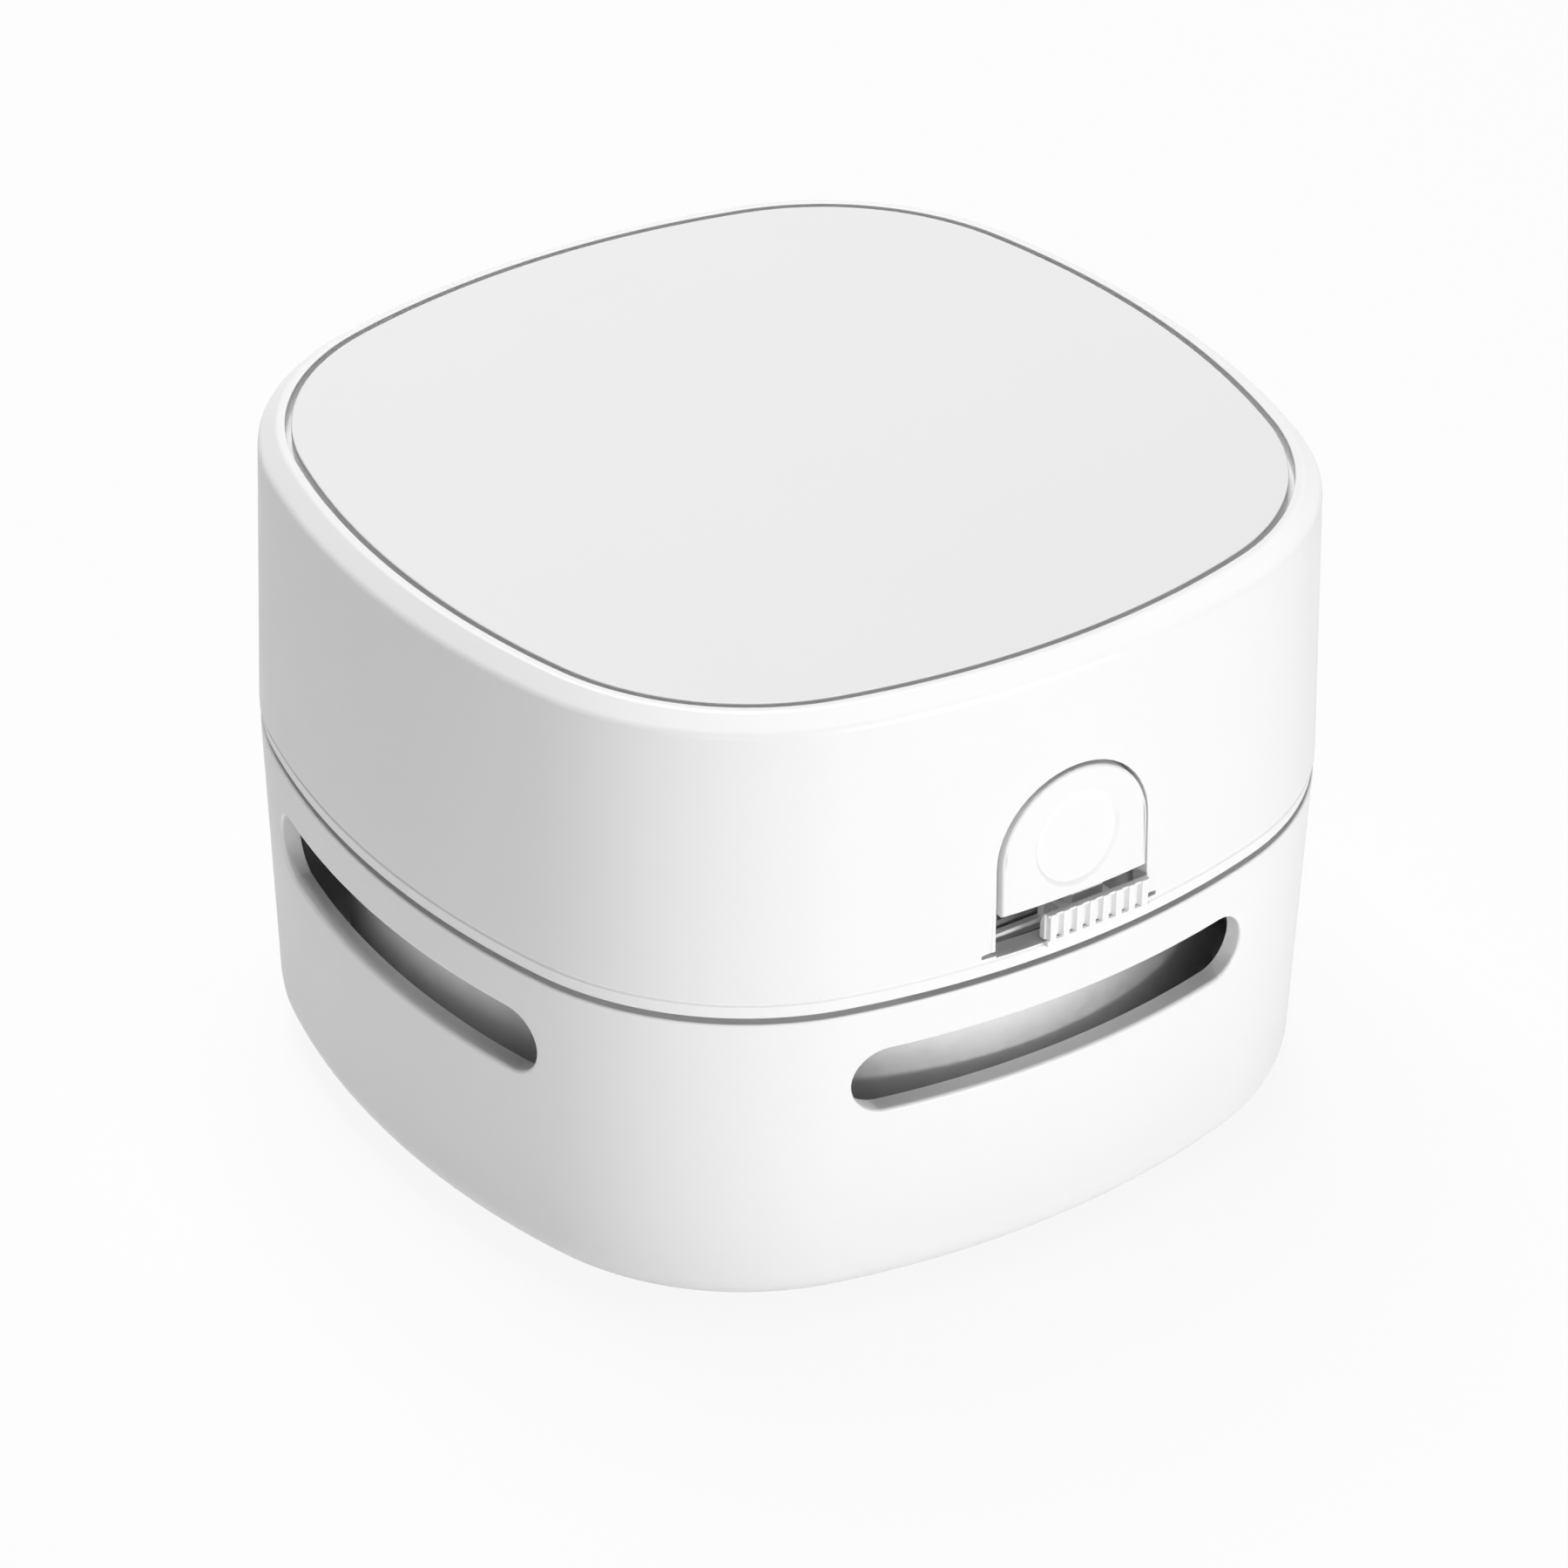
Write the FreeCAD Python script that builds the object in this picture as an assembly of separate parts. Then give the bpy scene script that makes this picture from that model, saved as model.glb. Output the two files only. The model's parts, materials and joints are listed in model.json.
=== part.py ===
"""Desktop mini vacuum cleaner: a motor head that lifts off a dust box.

Millimetres, +Z up, front towards -Y, origin on the desk under the middle of the cleaner.
"""
import FreeCAD
import Part
import math
import os

V = FreeCAD.Vector

# ---- outer form -------------------------------------------------------------
HALF = 42.0               # half-width at the parting line
SIDE_R = 80.0             # radius of the four bulging sides
CORNER_R = 26.0           # radius of the four corners
FOOT_H = 1.6              # gap between the desk and the underside
TOP_Z = 60.0
PARTING_Z = 31.5
PARTING_GAP = 0.58
UPPER_DRAFT = 1.3         # degrees; the head narrows upwards
LOWER_DRAFT = 2.4         # degrees; the dust box narrows downwards
LOWER_SETBACK = 0.1       # the dust box is this much smaller at the parting line
RIM_WIDTH = 1.6           # sloping rim round the top
RIM_DROP = 1.4
RIM_ROUND = (1.1, 0.6)    # of its lower and upper edge
BASE_ROUND = 3.9
CREASE_Z = 33.2           # faint edge above the parting line
CREASE_INSET = 0.25
WALL = 1.9                # head
BOX_WALL = 1.8            # dust box
FLOOR = 2.0
FIT = 0.3                 # clearance between parts that slide past each other
SNUG = 0.1                # clearance between parts that are screwed or pressed together
THROUGH_FRONT = (-HALF - 1, -HALF + 6)    # y limits of a cut through the front wall

# ---- top cover --------------------------------------------------------------
COVER_HALF = 38.5
COVER_GAP = 0.54
COVER_T = 1.6
COVER_ROUND = 0.15
LEDGE_T = 1.3
LEDGE_HALF = 35.9
CLIP_W = 7.0
CLIP_T = 1.1
CLIP_BARB = 0.8
CLIP_TIP = 0.2
CLIP_H = 1.6
CLIP_PLAY = 0.15

# ---- exhaust slots ----------------------------------------------------------
SLOT_HALF_LENGTH = 20.1
SLOT_H = 6.2
SLOT_Z = 23.8

# ---- release button and its latch -------------------------------------------
ARCH_HALF = 7.7           # opening in the front wall
ARCH_SPRING_Z = 41.75
ARCH_BOTTOM_Z = 33.4
BUTTON_GAP = 0.35
BUTTON_BOTTOM_Z = 37.25
BUTTON_PROUD = 0.3         # of the wall round it
BUTTON_LIP_T = 1.0         # its lower edge is thin, to clear the switch knob
BUTTON_FLANGE_T = 1.2
BUTTON_EAR_HALF = 11.6
BUTTON_EAR_W = 2.8
BUTTON_EAR_Z = (37.6, 41.9)
DIMPLE_R = 4.4
DIMPLE_DEPTH = 0.2
LEG_FRONT_Y = -37.8
LEG_BACK_Y = -36.4
LEG_FOOT_Z = 27.2
HOOK_H = 1.4
HOOK_REACH_Y = -38.8
CATCH_FRONT_Y = -40.6
CATCH_BACK_Y = -38.1
CATCH_Z = (28.9, 30.3)
PIN_R = 0.85              # pins that hold the springs
BUTTON_PIN_Y = (-38.8, -36.9)
SPRING_X = 4.3
SPRING_Z = 46.5
SPRING_FRONT_Y = -38.05
SPRING_BACK_Y = -32.05
SPRING_MEAN_R = 1.35
SPRING_WIRE_R = 0.2
SPRING_TURNS = 5
SPRING_STEPS = 14         # sections in each turn

# ---- power switch -----------------------------------------------------------
KNOB_W = 10.5
KNOB_X = 2.25             # centre of the knob at its off position
KNOB_Z = (33.6, 36.1)
KNOB_PROUD = 0.35
KNOB_T = 1.1              # ribbed plate in front of the neck
KNOB_EDGE_T = 0.35        # thickness of the plate at its top, before it slopes back
KNOB_SLOPE_H = 1.0
KNOB_ROUND = 0.25
KNOB_GROOVES = 7
KNOB_PITCH = 1.345
KNOB_GROOVE_W = 0.6
KNOB_GROOVE_DEPTH = 0.25
KNOB_NECK_HALF = 2.6
KNOB_NECK_TOP_Z = 34.9
KNOB_BOSS_HALF = 1.6      # round the lever
KNOB_BOSS_FRONT_Y = -40.6
KNOB_FLANGE_HALF = 6.3
KNOB_FLANGE_Y = (-39.1, -38.35)
KNOB_FLANGE_Z = (32.7, 37.2)
SLIT_X = (-9.1, 8.8)      # slit at the foot of the arch
SLIT_Z = (33.6, 33.95)
SLIT_DEPTH = 1.5
LEVER_HALF = 0.75
LEVER_Y = (-40.1, -36.6)
LEVER_Z = (34.35, 35.85)
LEVER_FIT = 0.05
SWITCH_HALF = 8.2
SWITCH_Z = (33.35, 37.2)
SWITCH_FRONT_Y = -38.0
SWITCH_TRACK_HALF = 5.0
SWITCH_TRACK_BACK_Y = -36.2
SWITCH_TRACK_Z = (34.1, 36.1)
SWITCH_NOTCH_X = 7.2
SWITCH_NOTCH_HALF = 0.4
SWITCH_NOTCH_BACK_Y = -36.8
BOARD_T = 1.0
SWITCH_BOARD_Y = -33.2    # front face of the board behind the switch
SWITCH_BOARD_HALF = 12.0
SWITCH_BOARD_Z = (33.4, 42.1)

# ---- lip that lines up the two halves ---------------------------------------
LIP_INSET = WALL + FIT
LIP_T = 1.2
LIP_TOP_Z = 33.2
LIP_FOOT_Z = 28.6
LIP_GAP_HALF = 14.5       # the lip is open here for the latch
LIP_GAP_DEPTH = 8.0
LIP_OVERLAP = 0.3         # how far the lip's foot reaches into the wall

# ---- dust cup ---------------------------------------------------------------
CUP_R = 37.9
CUP_WALL = 1.5
CUP_FLOOR_Z = 5.0
CUP_RIM_Z = 26.2
CUP_SEAT_Z = 24.3
CUP_SEAT_R = 34.8
CHIMNEY_R = 9.0
CHIMNEY_WALL = 1.4
CHIMNEY_TOP_Z = 18.0
CHIMNEY_TAPER = 0.5
CUP_CHAMFER = 2.0
CUP_SEAT_T = 0.7
CUP_POST_R = 2.4
CUP_POST_H = 7.0
CUP_BORE_H = 6.0
BASE_SCREW_XY = 24.7
BASE_POST_R = 3.2

# ---- suction mouth, brush and pads ------------------------------------------
MOUTH_R = 17.0
MOUTH_BODY_R = 27.2
MOUTH_FLANGE_R = 29.5
MOUTH_PLAY = 0.05         # above and below its flange
MOUTH_BEND_R = 15.5
MOUTH_BEND_H = 0.9
MOUTH_LIP_T = 0.6
BRUSH_R = 23.0
BRUSH_CHANNEL_HALF = 1.5
BRUSH_TUFTS = 36
BRUSH_CHANNEL_DEPTH = 1.5
BRUSH_STRIP_SINK = 0.4
BRUSH_TIP_Z = 0.3
TUFT_R = (0.75, 1.0)      # at its root and its tip
PAD_R = 4.0
PAD_SINK = 0.6
PAD_ROUND = 0.4
PAD_FIT = 0.15            # clearance round it in its recess

# ---- filter -----------------------------------------------------------------
FILTER_R = 36.1
FILTER_OPEN_R = 29.8
FILTER_RING_Z = (24.35, 26.15)
FILTER_FLOOR_R = 15.6
FILTER_FLOOR_Z = 19.7
FILTER_FLOOR_W = 2.0
FILTER_FLOOR_T = 1.0
FILTER_RIBS = 8
FILTER_RIB_HALF = 0.7
FILTER_RIB_T = 1.2
FILTER_TOP_SINK = 0.5     # the ribs stay this far below the rim's top
BRIDGE_HALF = 1.5
BRIDGE_SINK = 0.2
GRIP_HALF = 6.0
GRIP_T = 1.6
GRIP_TOP_Z = 30.6
GRIP_ROUND = 2.5
MESH_T = 0.5
MESH_RIM = 1.2

# ---- fan and motor ----------------------------------------------------------
BRACKET_Z = (42.2, 43.8)
BRACKET_INSET = WALL + 0.5
BOSS_XY = 28.6
BOSS_R = 4.0
BOSS_BORE = 8.0
RIB_REACH = (3.6, 1.3)    # in from the head's corner, inner and outer end
RIB_HALF = 1.2
RIB_TOP_Z = 40.3
RAIL_T = 1.2              # rails beside the button's ears
RAIL_Y = (-39.6, -34.6)
RAIL_Z = (38.0, 42.0)
SPRING_WALL_HALF = 8.0    # wall behind the springs
SPRING_WALL_Y = (-32.0, -30.6)
SPRING_WALL_TOP_Z = 49.6
SPRING_PIN_FRONT_Y = -33.4
SPRING_STAY_X = (6.0, 7.2)
SPRING_STAY_BACK_Y = -27.6
SPRING_STAY_TOP_Z = 47.0
BOARD_ARM_X = 12.4        # arms that hold the switch board
BOARD_ARM_HALF = 1.4
BOARD_ARM_Y = (-34.2, -30.8)
BOARD_ARM_FOOT_Z = 36.0
LATCH_GAP_BACK_Y = -34.3
PILLAR_XY = 20.15
PILLAR_R = 2.5
FAN_COVER_Z = (31.8, 33.2)
FAN_COVER_R = 34.5
FAN_EYE_R = 14.0
SKIRT_R = (32.2, 33.8)
SKIRT_FOOT_Z = 27.6
SEAL_Z = 26.35
SEAL_OVERHANG = 0.7
SEAL_LIP = 0.5
GUARD_RINGS = (5.0, 9.5)
GUARD_HALF = 0.5
GUARD_SPOKES = 6
GUARD_HUB_R = 2.0
IMPELLER_R = 24.0
IMPELLER_Z = (34.2, 41.2)
IMPELLER_DISC_T = 1.0
IMPELLER_BLADES = 9
BLADE_T = 1.0
BLADE_START_R = 8.5
BLADE_ARC_R = 15.0
BLADE_ARC_OFFSET = 13.0
HUB_R = 3.6
HUB_FOOT_R = 5.0
BLADE_TIP_GAP = 0.3
SHAFT_R = 1.0
SHAFT_Z = (35.8, 54.9)
BEARING_FIT = 0.04
MOTOR_R = 12.2
MOTOR_WALL = 0.8
MOTOR_Z = (43.8, 55.8)
MOTOR_NOSE_R = 3.0
MOTOR_CHAMFER = 0.8
MOTOR_SCREW_X = 8.0
MOTOR_SCREW_R = 0.9
MOTOR_SCREW_FIT = 0.05
CONE_H = 1.0              # countersunk heads
CONE_R = 2.0
MAGNET_IN_R = 9.7
MAGNET_Z = (46.2, 53.4)
PRESS_FIT = 0.02
END_CAP_T = 1.6
BEARING_R = 3.0
BEARING_H = 0.6
TERMINAL_X = 7.0
TERMINAL_HALF = 1.2
TERMINAL_H = 1.6
TERMINAL_T = 0.5
ARMATURE_Z = (46.6, 53.0)
ARMATURE_CORE_R = 2.6
COMMUTATOR_TOP_Z = 53.9
POLE_HALF = 1.4
SHOE_R = (7.6, 9.2)
SHOE_HALF = 6.2
WINDING_X = (3.6, 7.0)
WINDING_HALF = 2.6
WINDING_INSET = 0.6

# ---- battery and charging board ---------------------------------------------
CELL_R = 7.0
CELL_HALF = 24.0
CELL_Y = 21.5
CELL_Z = 50.9
CELL_ROUND = 0.6
CELL_CAP_R = 2.7
CELL_CAP_H = 0.9
CRADLE_FIT = 0.2
CRADLE_T = 1.2
CRADLE_HALF = 20.0
CRADLE_TOP_Z = 49.0
CELL_STOP_X = (25.6, 26.8)
CELL_STOP_Y = (15.5, 24.5)
CELL_STOP_TOP_Z = 53.0
TAB_T = 0.3
TAB_HALF = 3.0
TAB_RISE = (-5.0, 3.0)    # below and above the cell's middle
CHARGE_BOARD_Z = 35.2
CHARGE_BOARD_HALF = 13.0
CHARGE_BOARD_Y = (29.5, 38.2)
BOARD_SCREW_X = 10.6
BOARD_SCREW_Y = 36.4
BOARD_BOSS_HALF = 1.9
BOARD_BOSS_FRONT_Y = 34.5
BOARD_BOSS_FOOT_Z = 33.6
BOARD_BORE_H = 5.0
USB_W = 8.94
USB_H = 3.2
USB_Y = (34.1, 41.2)
USB_WALL = 0.3
USB_CLEAR = 0.35
USB_BACK_T = 1.2
USB_TONGUE_HALF = 3.3
USB_TONGUE_T = 0.7
USB_TONGUE_SINK = 0.8

# ---- screws -----------------------------------------------------------------
SCREW_R = 0.97
SCREW_HOLE_R = 1.0
SCREW_HEAD_R = 1.9
SCREW_HEAD_H = 1.1
BOARD_SCREW_HEAD_H = 0.9
BOARD_SCREW_DEPTH = 1.4
HEAD_FIT = 0.2
BASE_SCREW_REACH = 5.5
BRACKET_SCREW_REACH = 7.0
COVER_SCREW_REACH = 6.0

# ---- worked out from the sizes above ----------------------------------------
SIDE_CENTRE = HALF - SIDE_R
CORNER_CENTRE = (
    2 * SIDE_CENTRE
    + math.sqrt(4 * SIDE_CENTRE ** 2 - 8 * (SIDE_CENTRE ** 2 - (SIDE_R - CORNER_R) ** 2))
) / 4
TANGENT = math.degrees(math.atan2(CORNER_CENTRE, CORNER_CENTRE - SIDE_CENTRE))
HEAD_FOOT_Z = PARTING_Z + PARTING_GAP / 2
BOX_TOP_Z = PARTING_Z - PARTING_GAP / 2
RECESS_Z = TOP_Z - COVER_T
LEDGE_Z = RECESS_Z - LEDGE_T
BASE_TOP_Z = FOOT_H + FLOOR
USB_Z = CHARGE_BOARD_Z + BOARD_T + USB_H / 2
QUARTERS = (0, 90, 180, 270)


# ---- helpers ----------------------------------------------------------------
def polar(centre, radius, degrees, z):
    angle = math.radians(degrees)
    return V(centre.x + radius * math.cos(angle), centre.y + radius * math.sin(angle), z)


def outline(half, z):
    """The square outline with bulging sides, offset so that its half-width is half."""
    inset = HALF - half
    edges = []
    for turn in QUARTERS:
        side = polar(V(), SIDE_CENTRE, turn, 0)
        corner = polar(V(), CORNER_CENTRE * math.sqrt(2), turn + 45, 0)
        for centre, radius, start, end in (
            (side, SIDE_R - inset, turn - TANGENT, turn + TANGENT),
            (corner, CORNER_R - inset, turn + TANGENT, turn + 90 - TANGENT),
        ):
            points = [polar(centre, radius, a, z) for a in (start, (start + end) / 2, end)]
            edges.append(Part.Arc(*points).toShape())
    return Part.Wire(edges)


def stack(*sections):
    """A solid through (half-width, height) sections of the outline."""
    return Part.makeLoft([outline(half, z) for half, z in sections], True, True)


def head_half(z):
    return HALF - math.tan(math.radians(UPPER_DRAFT)) * (z - PARTING_Z)


def box_half(z):
    return HALF - LOWER_SETBACK - math.tan(math.radians(LOWER_DRAFT)) * (PARTING_Z - z)


def head_core(inset, low=HEAD_FOOT_Z, high=TOP_Z):
    """The head's drafted form, inset from its outer face."""
    return stack((head_half(low) - inset, low), (head_half(high) - inset, high))


def block(x, y, z):
    """A box from its (low, high) limits along each axis."""
    return Part.makeBox(x[1] - x[0], y[1] - y[0], z[1] - z[0], V(x[0], y[0], z[0]))


def centred(half, middle=0.0):
    return (middle - half, middle + half)


def post(radius, z, x=0.0, y=0.0):
    return Part.makeCylinder(radius, z[1] - z[0], V(x, y, z[0]))


def post_y(radius, y, x, z):
    return Part.makeCylinder(radius, y[1] - y[0], V(x, y[0], z), V(0, 1, 0))


def ring(radii, z):
    return post(radii[1], z).cut(post(radii[0], z))


def corners(distance):
    return [(sx * distance, sy * distance) for sx in (-1, 1) for sy in (-1, 1)]


def revolve(points):
    """A turned solid from (radius, height) points."""
    wire = Part.makePolygon([V(r, 0, z) for r, z in points + points[:1]])
    return Part.Face(wire).revolve(V(), V(0, 0, 1), 360)


def turned(shape, degrees):
    copy = shape.copy()
    copy.rotate(V(), V(0, 0, 1), degrees)
    return copy


def arch(half, low, spring, y):
    """An arch-topped prism through the front wall, between two y limits."""
    corner_points = [V(half, y[0], spring), V(half, y[0], low), V(-half, y[0], low), V(-half, y[0], spring)]
    edges = [Part.LineSegment(a, b).toShape() for a, b in zip(corner_points, corner_points[1:])]
    edges.append(Part.Arc(corner_points[3], V(0, y[0], spring + half), corner_points[0]).toShape())
    return Part.Face(Part.Wire(edges)).extrude(V(0, y[1] - y[0], 0))


def stadium(half, height, z, y):
    """A slot-shaped prism along Y, with full round ends."""
    r = height / 2
    flat = half - r
    ends = [post_y(r, y, side * flat, z) for side in (-1, 1)]
    return block((-flat, flat), y, (z - r, z + r)).fuse(ends)


def edges_at(shape, z):
    """The edges that lie flat at a height."""
    tolerance = 1e-4
    return [
        e for e in shape.Edges
        if abs(e.BoundBox.ZMin - z) < tolerance and abs(e.BoundBox.ZMax - z) < tolerance
    ]


def screw(x, y, head_low, head_high, tip):
    """A pan-head screw whose shank runs from its head to the tip height."""
    head = post(SCREW_HEAD_R, (head_low, head_high), x, y)
    start, end = min(tip, head_high), max(tip, head_low)
    return head.fuse(post(SCREW_R, (start, end), x, y)).removeSplitter()


def save(name, shape):
    if not shape.isValid():
        raise ValueError(name + " is not valid")
    shape.exportStep("parts/" + name + ".step")


# ---- dust box ---------------------------------------------------------------
def lower_shell():
    """Outer shell of the dust box, with an exhaust slot in each side."""
    foot_half = box_half(FOOT_H)
    body = stack((foot_half, FOOT_H), (box_half(BOX_TOP_Z), BOX_TOP_Z))
    body = body.makeFillet(BASE_ROUND, edges_at(body, FOOT_H))
    inside = stack(
        (box_half(BASE_TOP_Z) - BOX_WALL, BASE_TOP_Z), (box_half(BOX_TOP_Z) - BOX_WALL, BOX_TOP_Z)
    )
    inside = inside.makeFillet(BASE_ROUND - BOX_WALL, edges_at(inside, BASE_TOP_Z))
    slot = stadium(SLOT_HALF_LENGTH, SLOT_H, SLOT_Z, THROUGH_FRONT)
    body = body.cut(inside).cut([turned(slot, a) for a in QUARTERS])
    body = body.fuse([lip()] + [catch(side) for side in (-1, 1)])
    body = body.fuse([post(BASE_POST_R, (FOOT_H, CUP_FLOOR_Z), x, y) for x, y in corners(BASE_SCREW_XY)])
    body = body.cut(post(MOUTH_BODY_R + FIT, (FOOT_H, BASE_TOP_Z)))
    for x, y in corners(BASE_SCREW_XY):
        seat = FOOT_H + PAD_SINK
        body = body.cut(post(PAD_R + PAD_FIT, (FOOT_H, seat), x, y))
        body = body.cut(post(SCREW_HEAD_R + HEAD_FIT, (FOOT_H, seat + SCREW_HEAD_H + HEAD_FIT), x, y))
        body = body.cut(post(SCREW_HOLE_R, (FOOT_H, CUP_FLOOR_Z), x, y))
    return body.removeSplitter()


def lip():
    """Ring inside the top of the dust box that stands up into the head."""
    low = head_half(PARTING_Z)
    inner = low - LIP_INSET - LIP_T
    root = low - BOX_WALL + LIP_OVERLAP
    foot = stack((root, LIP_FOOT_Z), (root, BOX_TOP_Z - LIP_OVERLAP))
    top = stack((low - LIP_INSET, LIP_FOOT_Z), (low - LIP_INSET, LIP_TOP_Z))
    bore = stack((inner, LIP_FOOT_Z), (inner, LIP_TOP_Z))
    gap_y = (-HALF, -HALF + LIP_GAP_DEPTH)
    latch_gap = block((-LIP_GAP_HALF, LIP_GAP_HALF), gap_y, (LIP_FOOT_Z, LIP_TOP_Z))
    return foot.fuse(top).cut(bore).cut(latch_gap)


def catch(side):
    """Ledge that one hook of the release button holds under."""
    middle = side * (BUTTON_EAR_HALF - BUTTON_EAR_W / 2)
    x = (middle - BUTTON_EAR_W / 2 - FIT, middle + BUTTON_EAR_W / 2 + FIT)
    return block(x, (CATCH_FRONT_Y, CATCH_BACK_Y), CATCH_Z)


def dust_cup():
    """Round inner cup: the dust drops in beside the chimney."""
    inner = CUP_R - CUP_WALL
    under_seat = CUP_SEAT_Z - CUP_SEAT_T
    chimney = CHIMNEY_R + CHIMNEY_WALL
    cup = revolve([
        (CHIMNEY_R, CUP_FLOOR_Z), (CUP_R - CUP_CHAMFER, CUP_FLOOR_Z), (CUP_R, CUP_FLOOR_Z + CUP_CHAMFER),
        (CUP_R, CUP_RIM_Z), (inner, CUP_RIM_Z), (inner, CUP_SEAT_Z), (CUP_SEAT_R, CUP_SEAT_Z),
        (CUP_SEAT_R, under_seat), (inner, under_seat - inner + CUP_SEAT_R),
        (inner, CUP_FLOOR_Z + CUP_WALL), (chimney, CUP_FLOOR_Z + CUP_WALL),
        (chimney - CHIMNEY_TAPER, CHIMNEY_TOP_Z), (CHIMNEY_R, CHIMNEY_TOP_Z),
    ])
    for x, y in corners(BASE_SCREW_XY):
        cup = cup.fuse(post(CUP_POST_R, (CUP_FLOOR_Z, CUP_FLOOR_Z + CUP_POST_H), x, y))
        cup = cup.cut(post(SCREW_HOLE_R, (CUP_FLOOR_Z, CUP_FLOOR_Z + CUP_BORE_H), x, y))
    return cup.removeSplitter()


def suction_mouth():
    """Funnel ring in the underside that leads into the chimney and carries the brush."""
    seat = CUP_FLOOR_Z - MOUTH_PLAY
    shelf = BASE_TOP_Z + MOUTH_PLAY
    funnel = revolve([
        (MOUTH_R, FOOT_H), (MOUTH_BODY_R, FOOT_H), (MOUTH_BODY_R, shelf),
        (MOUTH_FLANGE_R, shelf), (MOUTH_FLANGE_R, seat), (CHIMNEY_R, seat),
        (CHIMNEY_R, seat - MOUTH_LIP_T), (MOUTH_BEND_R, FOOT_H + MOUTH_BEND_H),
    ])
    channel = (BRUSH_R - BRUSH_CHANNEL_HALF, BRUSH_R + BRUSH_CHANNEL_HALF)
    return funnel.cut(ring(channel, (FOOT_H, FOOT_H + BRUSH_CHANNEL_DEPTH)))


def bristles():
    """Ring of short tufts round the mouth."""
    strip_low = FOOT_H + BRUSH_STRIP_SINK
    half = BRUSH_CHANNEL_HALF - SNUG
    strip = ring((BRUSH_R - half, BRUSH_R + half), (strip_low, FOOT_H + BRUSH_CHANNEL_DEPTH))
    root, tip = tuft_section(TUFT_R[0], strip_low), tuft_section(TUFT_R[1], BRUSH_TIP_Z)
    tuft = Part.makeLoft([root, tip], True, True)
    step = 360.0 / BRUSH_TUFTS
    return strip.fuse([turned(tuft, i * step) for i in range(BRUSH_TUFTS)])


def tuft_section(radius, z):
    points = [polar(V(BRUSH_R, 0, 0), radius, 60 * i, z) for i in range(7)]
    return Part.makePolygon(points)


def glide_pads():
    pads = []
    for x, y in corners(BASE_SCREW_XY):
        pad = post(PAD_R, (0, FOOT_H + PAD_SINK), x, y)
        pads.append(pad.makeFillet(PAD_ROUND, edges_at(pad, 0)))
    return Part.makeCompound(pads)


def base_screws():
    head_low = FOOT_H + PAD_SINK + SNUG
    tip = CUP_FLOOR_Z + BASE_SCREW_REACH
    return Part.makeCompound([
        screw(x, y, head_low, head_low + SCREW_HEAD_H, tip) for x, y in corners(BASE_SCREW_XY)
    ])


# ---- filter -----------------------------------------------------------------
def filter_frame():
    """Basket frame that drops into the cup, with a grip tab on a bridge."""
    low, high = FILTER_RING_Z
    frame = ring((FILTER_OPEN_R, FILTER_R), FILTER_RING_Z)
    floor_z = (FILTER_FLOOR_Z, FILTER_FLOOR_Z + FILTER_FLOOR_T)
    floor_ring = ring((FILTER_FLOOR_R - FILTER_FLOOR_W, FILTER_FLOOR_R), floor_z)
    inner = FILTER_FLOOR_R - FILTER_RIB_T / 2
    reach = FILTER_OPEN_R + FILTER_RIB_HALF
    rib_top = high - FILTER_TOP_SINK
    section = [
        (inner, floor_z[0]), (FILTER_FLOOR_R, floor_z[0]), (FILTER_OPEN_R - HEAD_FIT, low),
        (reach, low), (reach, rib_top), (FILTER_OPEN_R - FILTER_FLOOR_T, rib_top), (inner, floor_z[1]),
    ]
    half = FILTER_RIB_HALF
    wire = Part.makePolygon([V(r, -half, z) for r, z in section + section[:1]])
    rib = Part.Face(wire).extrude(V(0, 2 * half, 0))
    step = 360.0 / FILTER_RIBS
    bridge = block((-reach, reach), (-BRIDGE_HALF, BRIDGE_HALF), (low + BRIDGE_SINK, high))
    grip = block((-GRIP_HALF, GRIP_HALF), (-GRIP_T / 2, GRIP_T / 2), (low + BRIDGE_SINK, GRIP_TOP_Z))
    grip = grip.makeFillet(GRIP_ROUND, [e for e in edges_at(grip, GRIP_TOP_Z) if e.BoundBox.XLength < 1e-3])
    return frame.fuse([floor_ring, bridge, grip] + [turned(rib, i * step) for i in range(FILTER_RIBS)])


def filter_mesh():
    """Fine mesh pan under the frame's ribs."""
    ring_low = FILTER_RING_Z[0]
    outer = FILTER_OPEN_R + MESH_RIM
    turn = FILTER_OPEN_R - HEAD_FIT
    return revolve([
        (0, FILTER_FLOOR_Z - MESH_T), (FILTER_FLOOR_R + HEAD_FIT, FILTER_FLOOR_Z - MESH_T),
        (turn + HEAD_FIT, ring_low - MESH_T), (outer, ring_low - MESH_T), (outer, ring_low),
        (turn, ring_low), (FILTER_FLOOR_R, FILTER_FLOOR_Z), (0, FILTER_FLOOR_Z),
    ])


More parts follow.
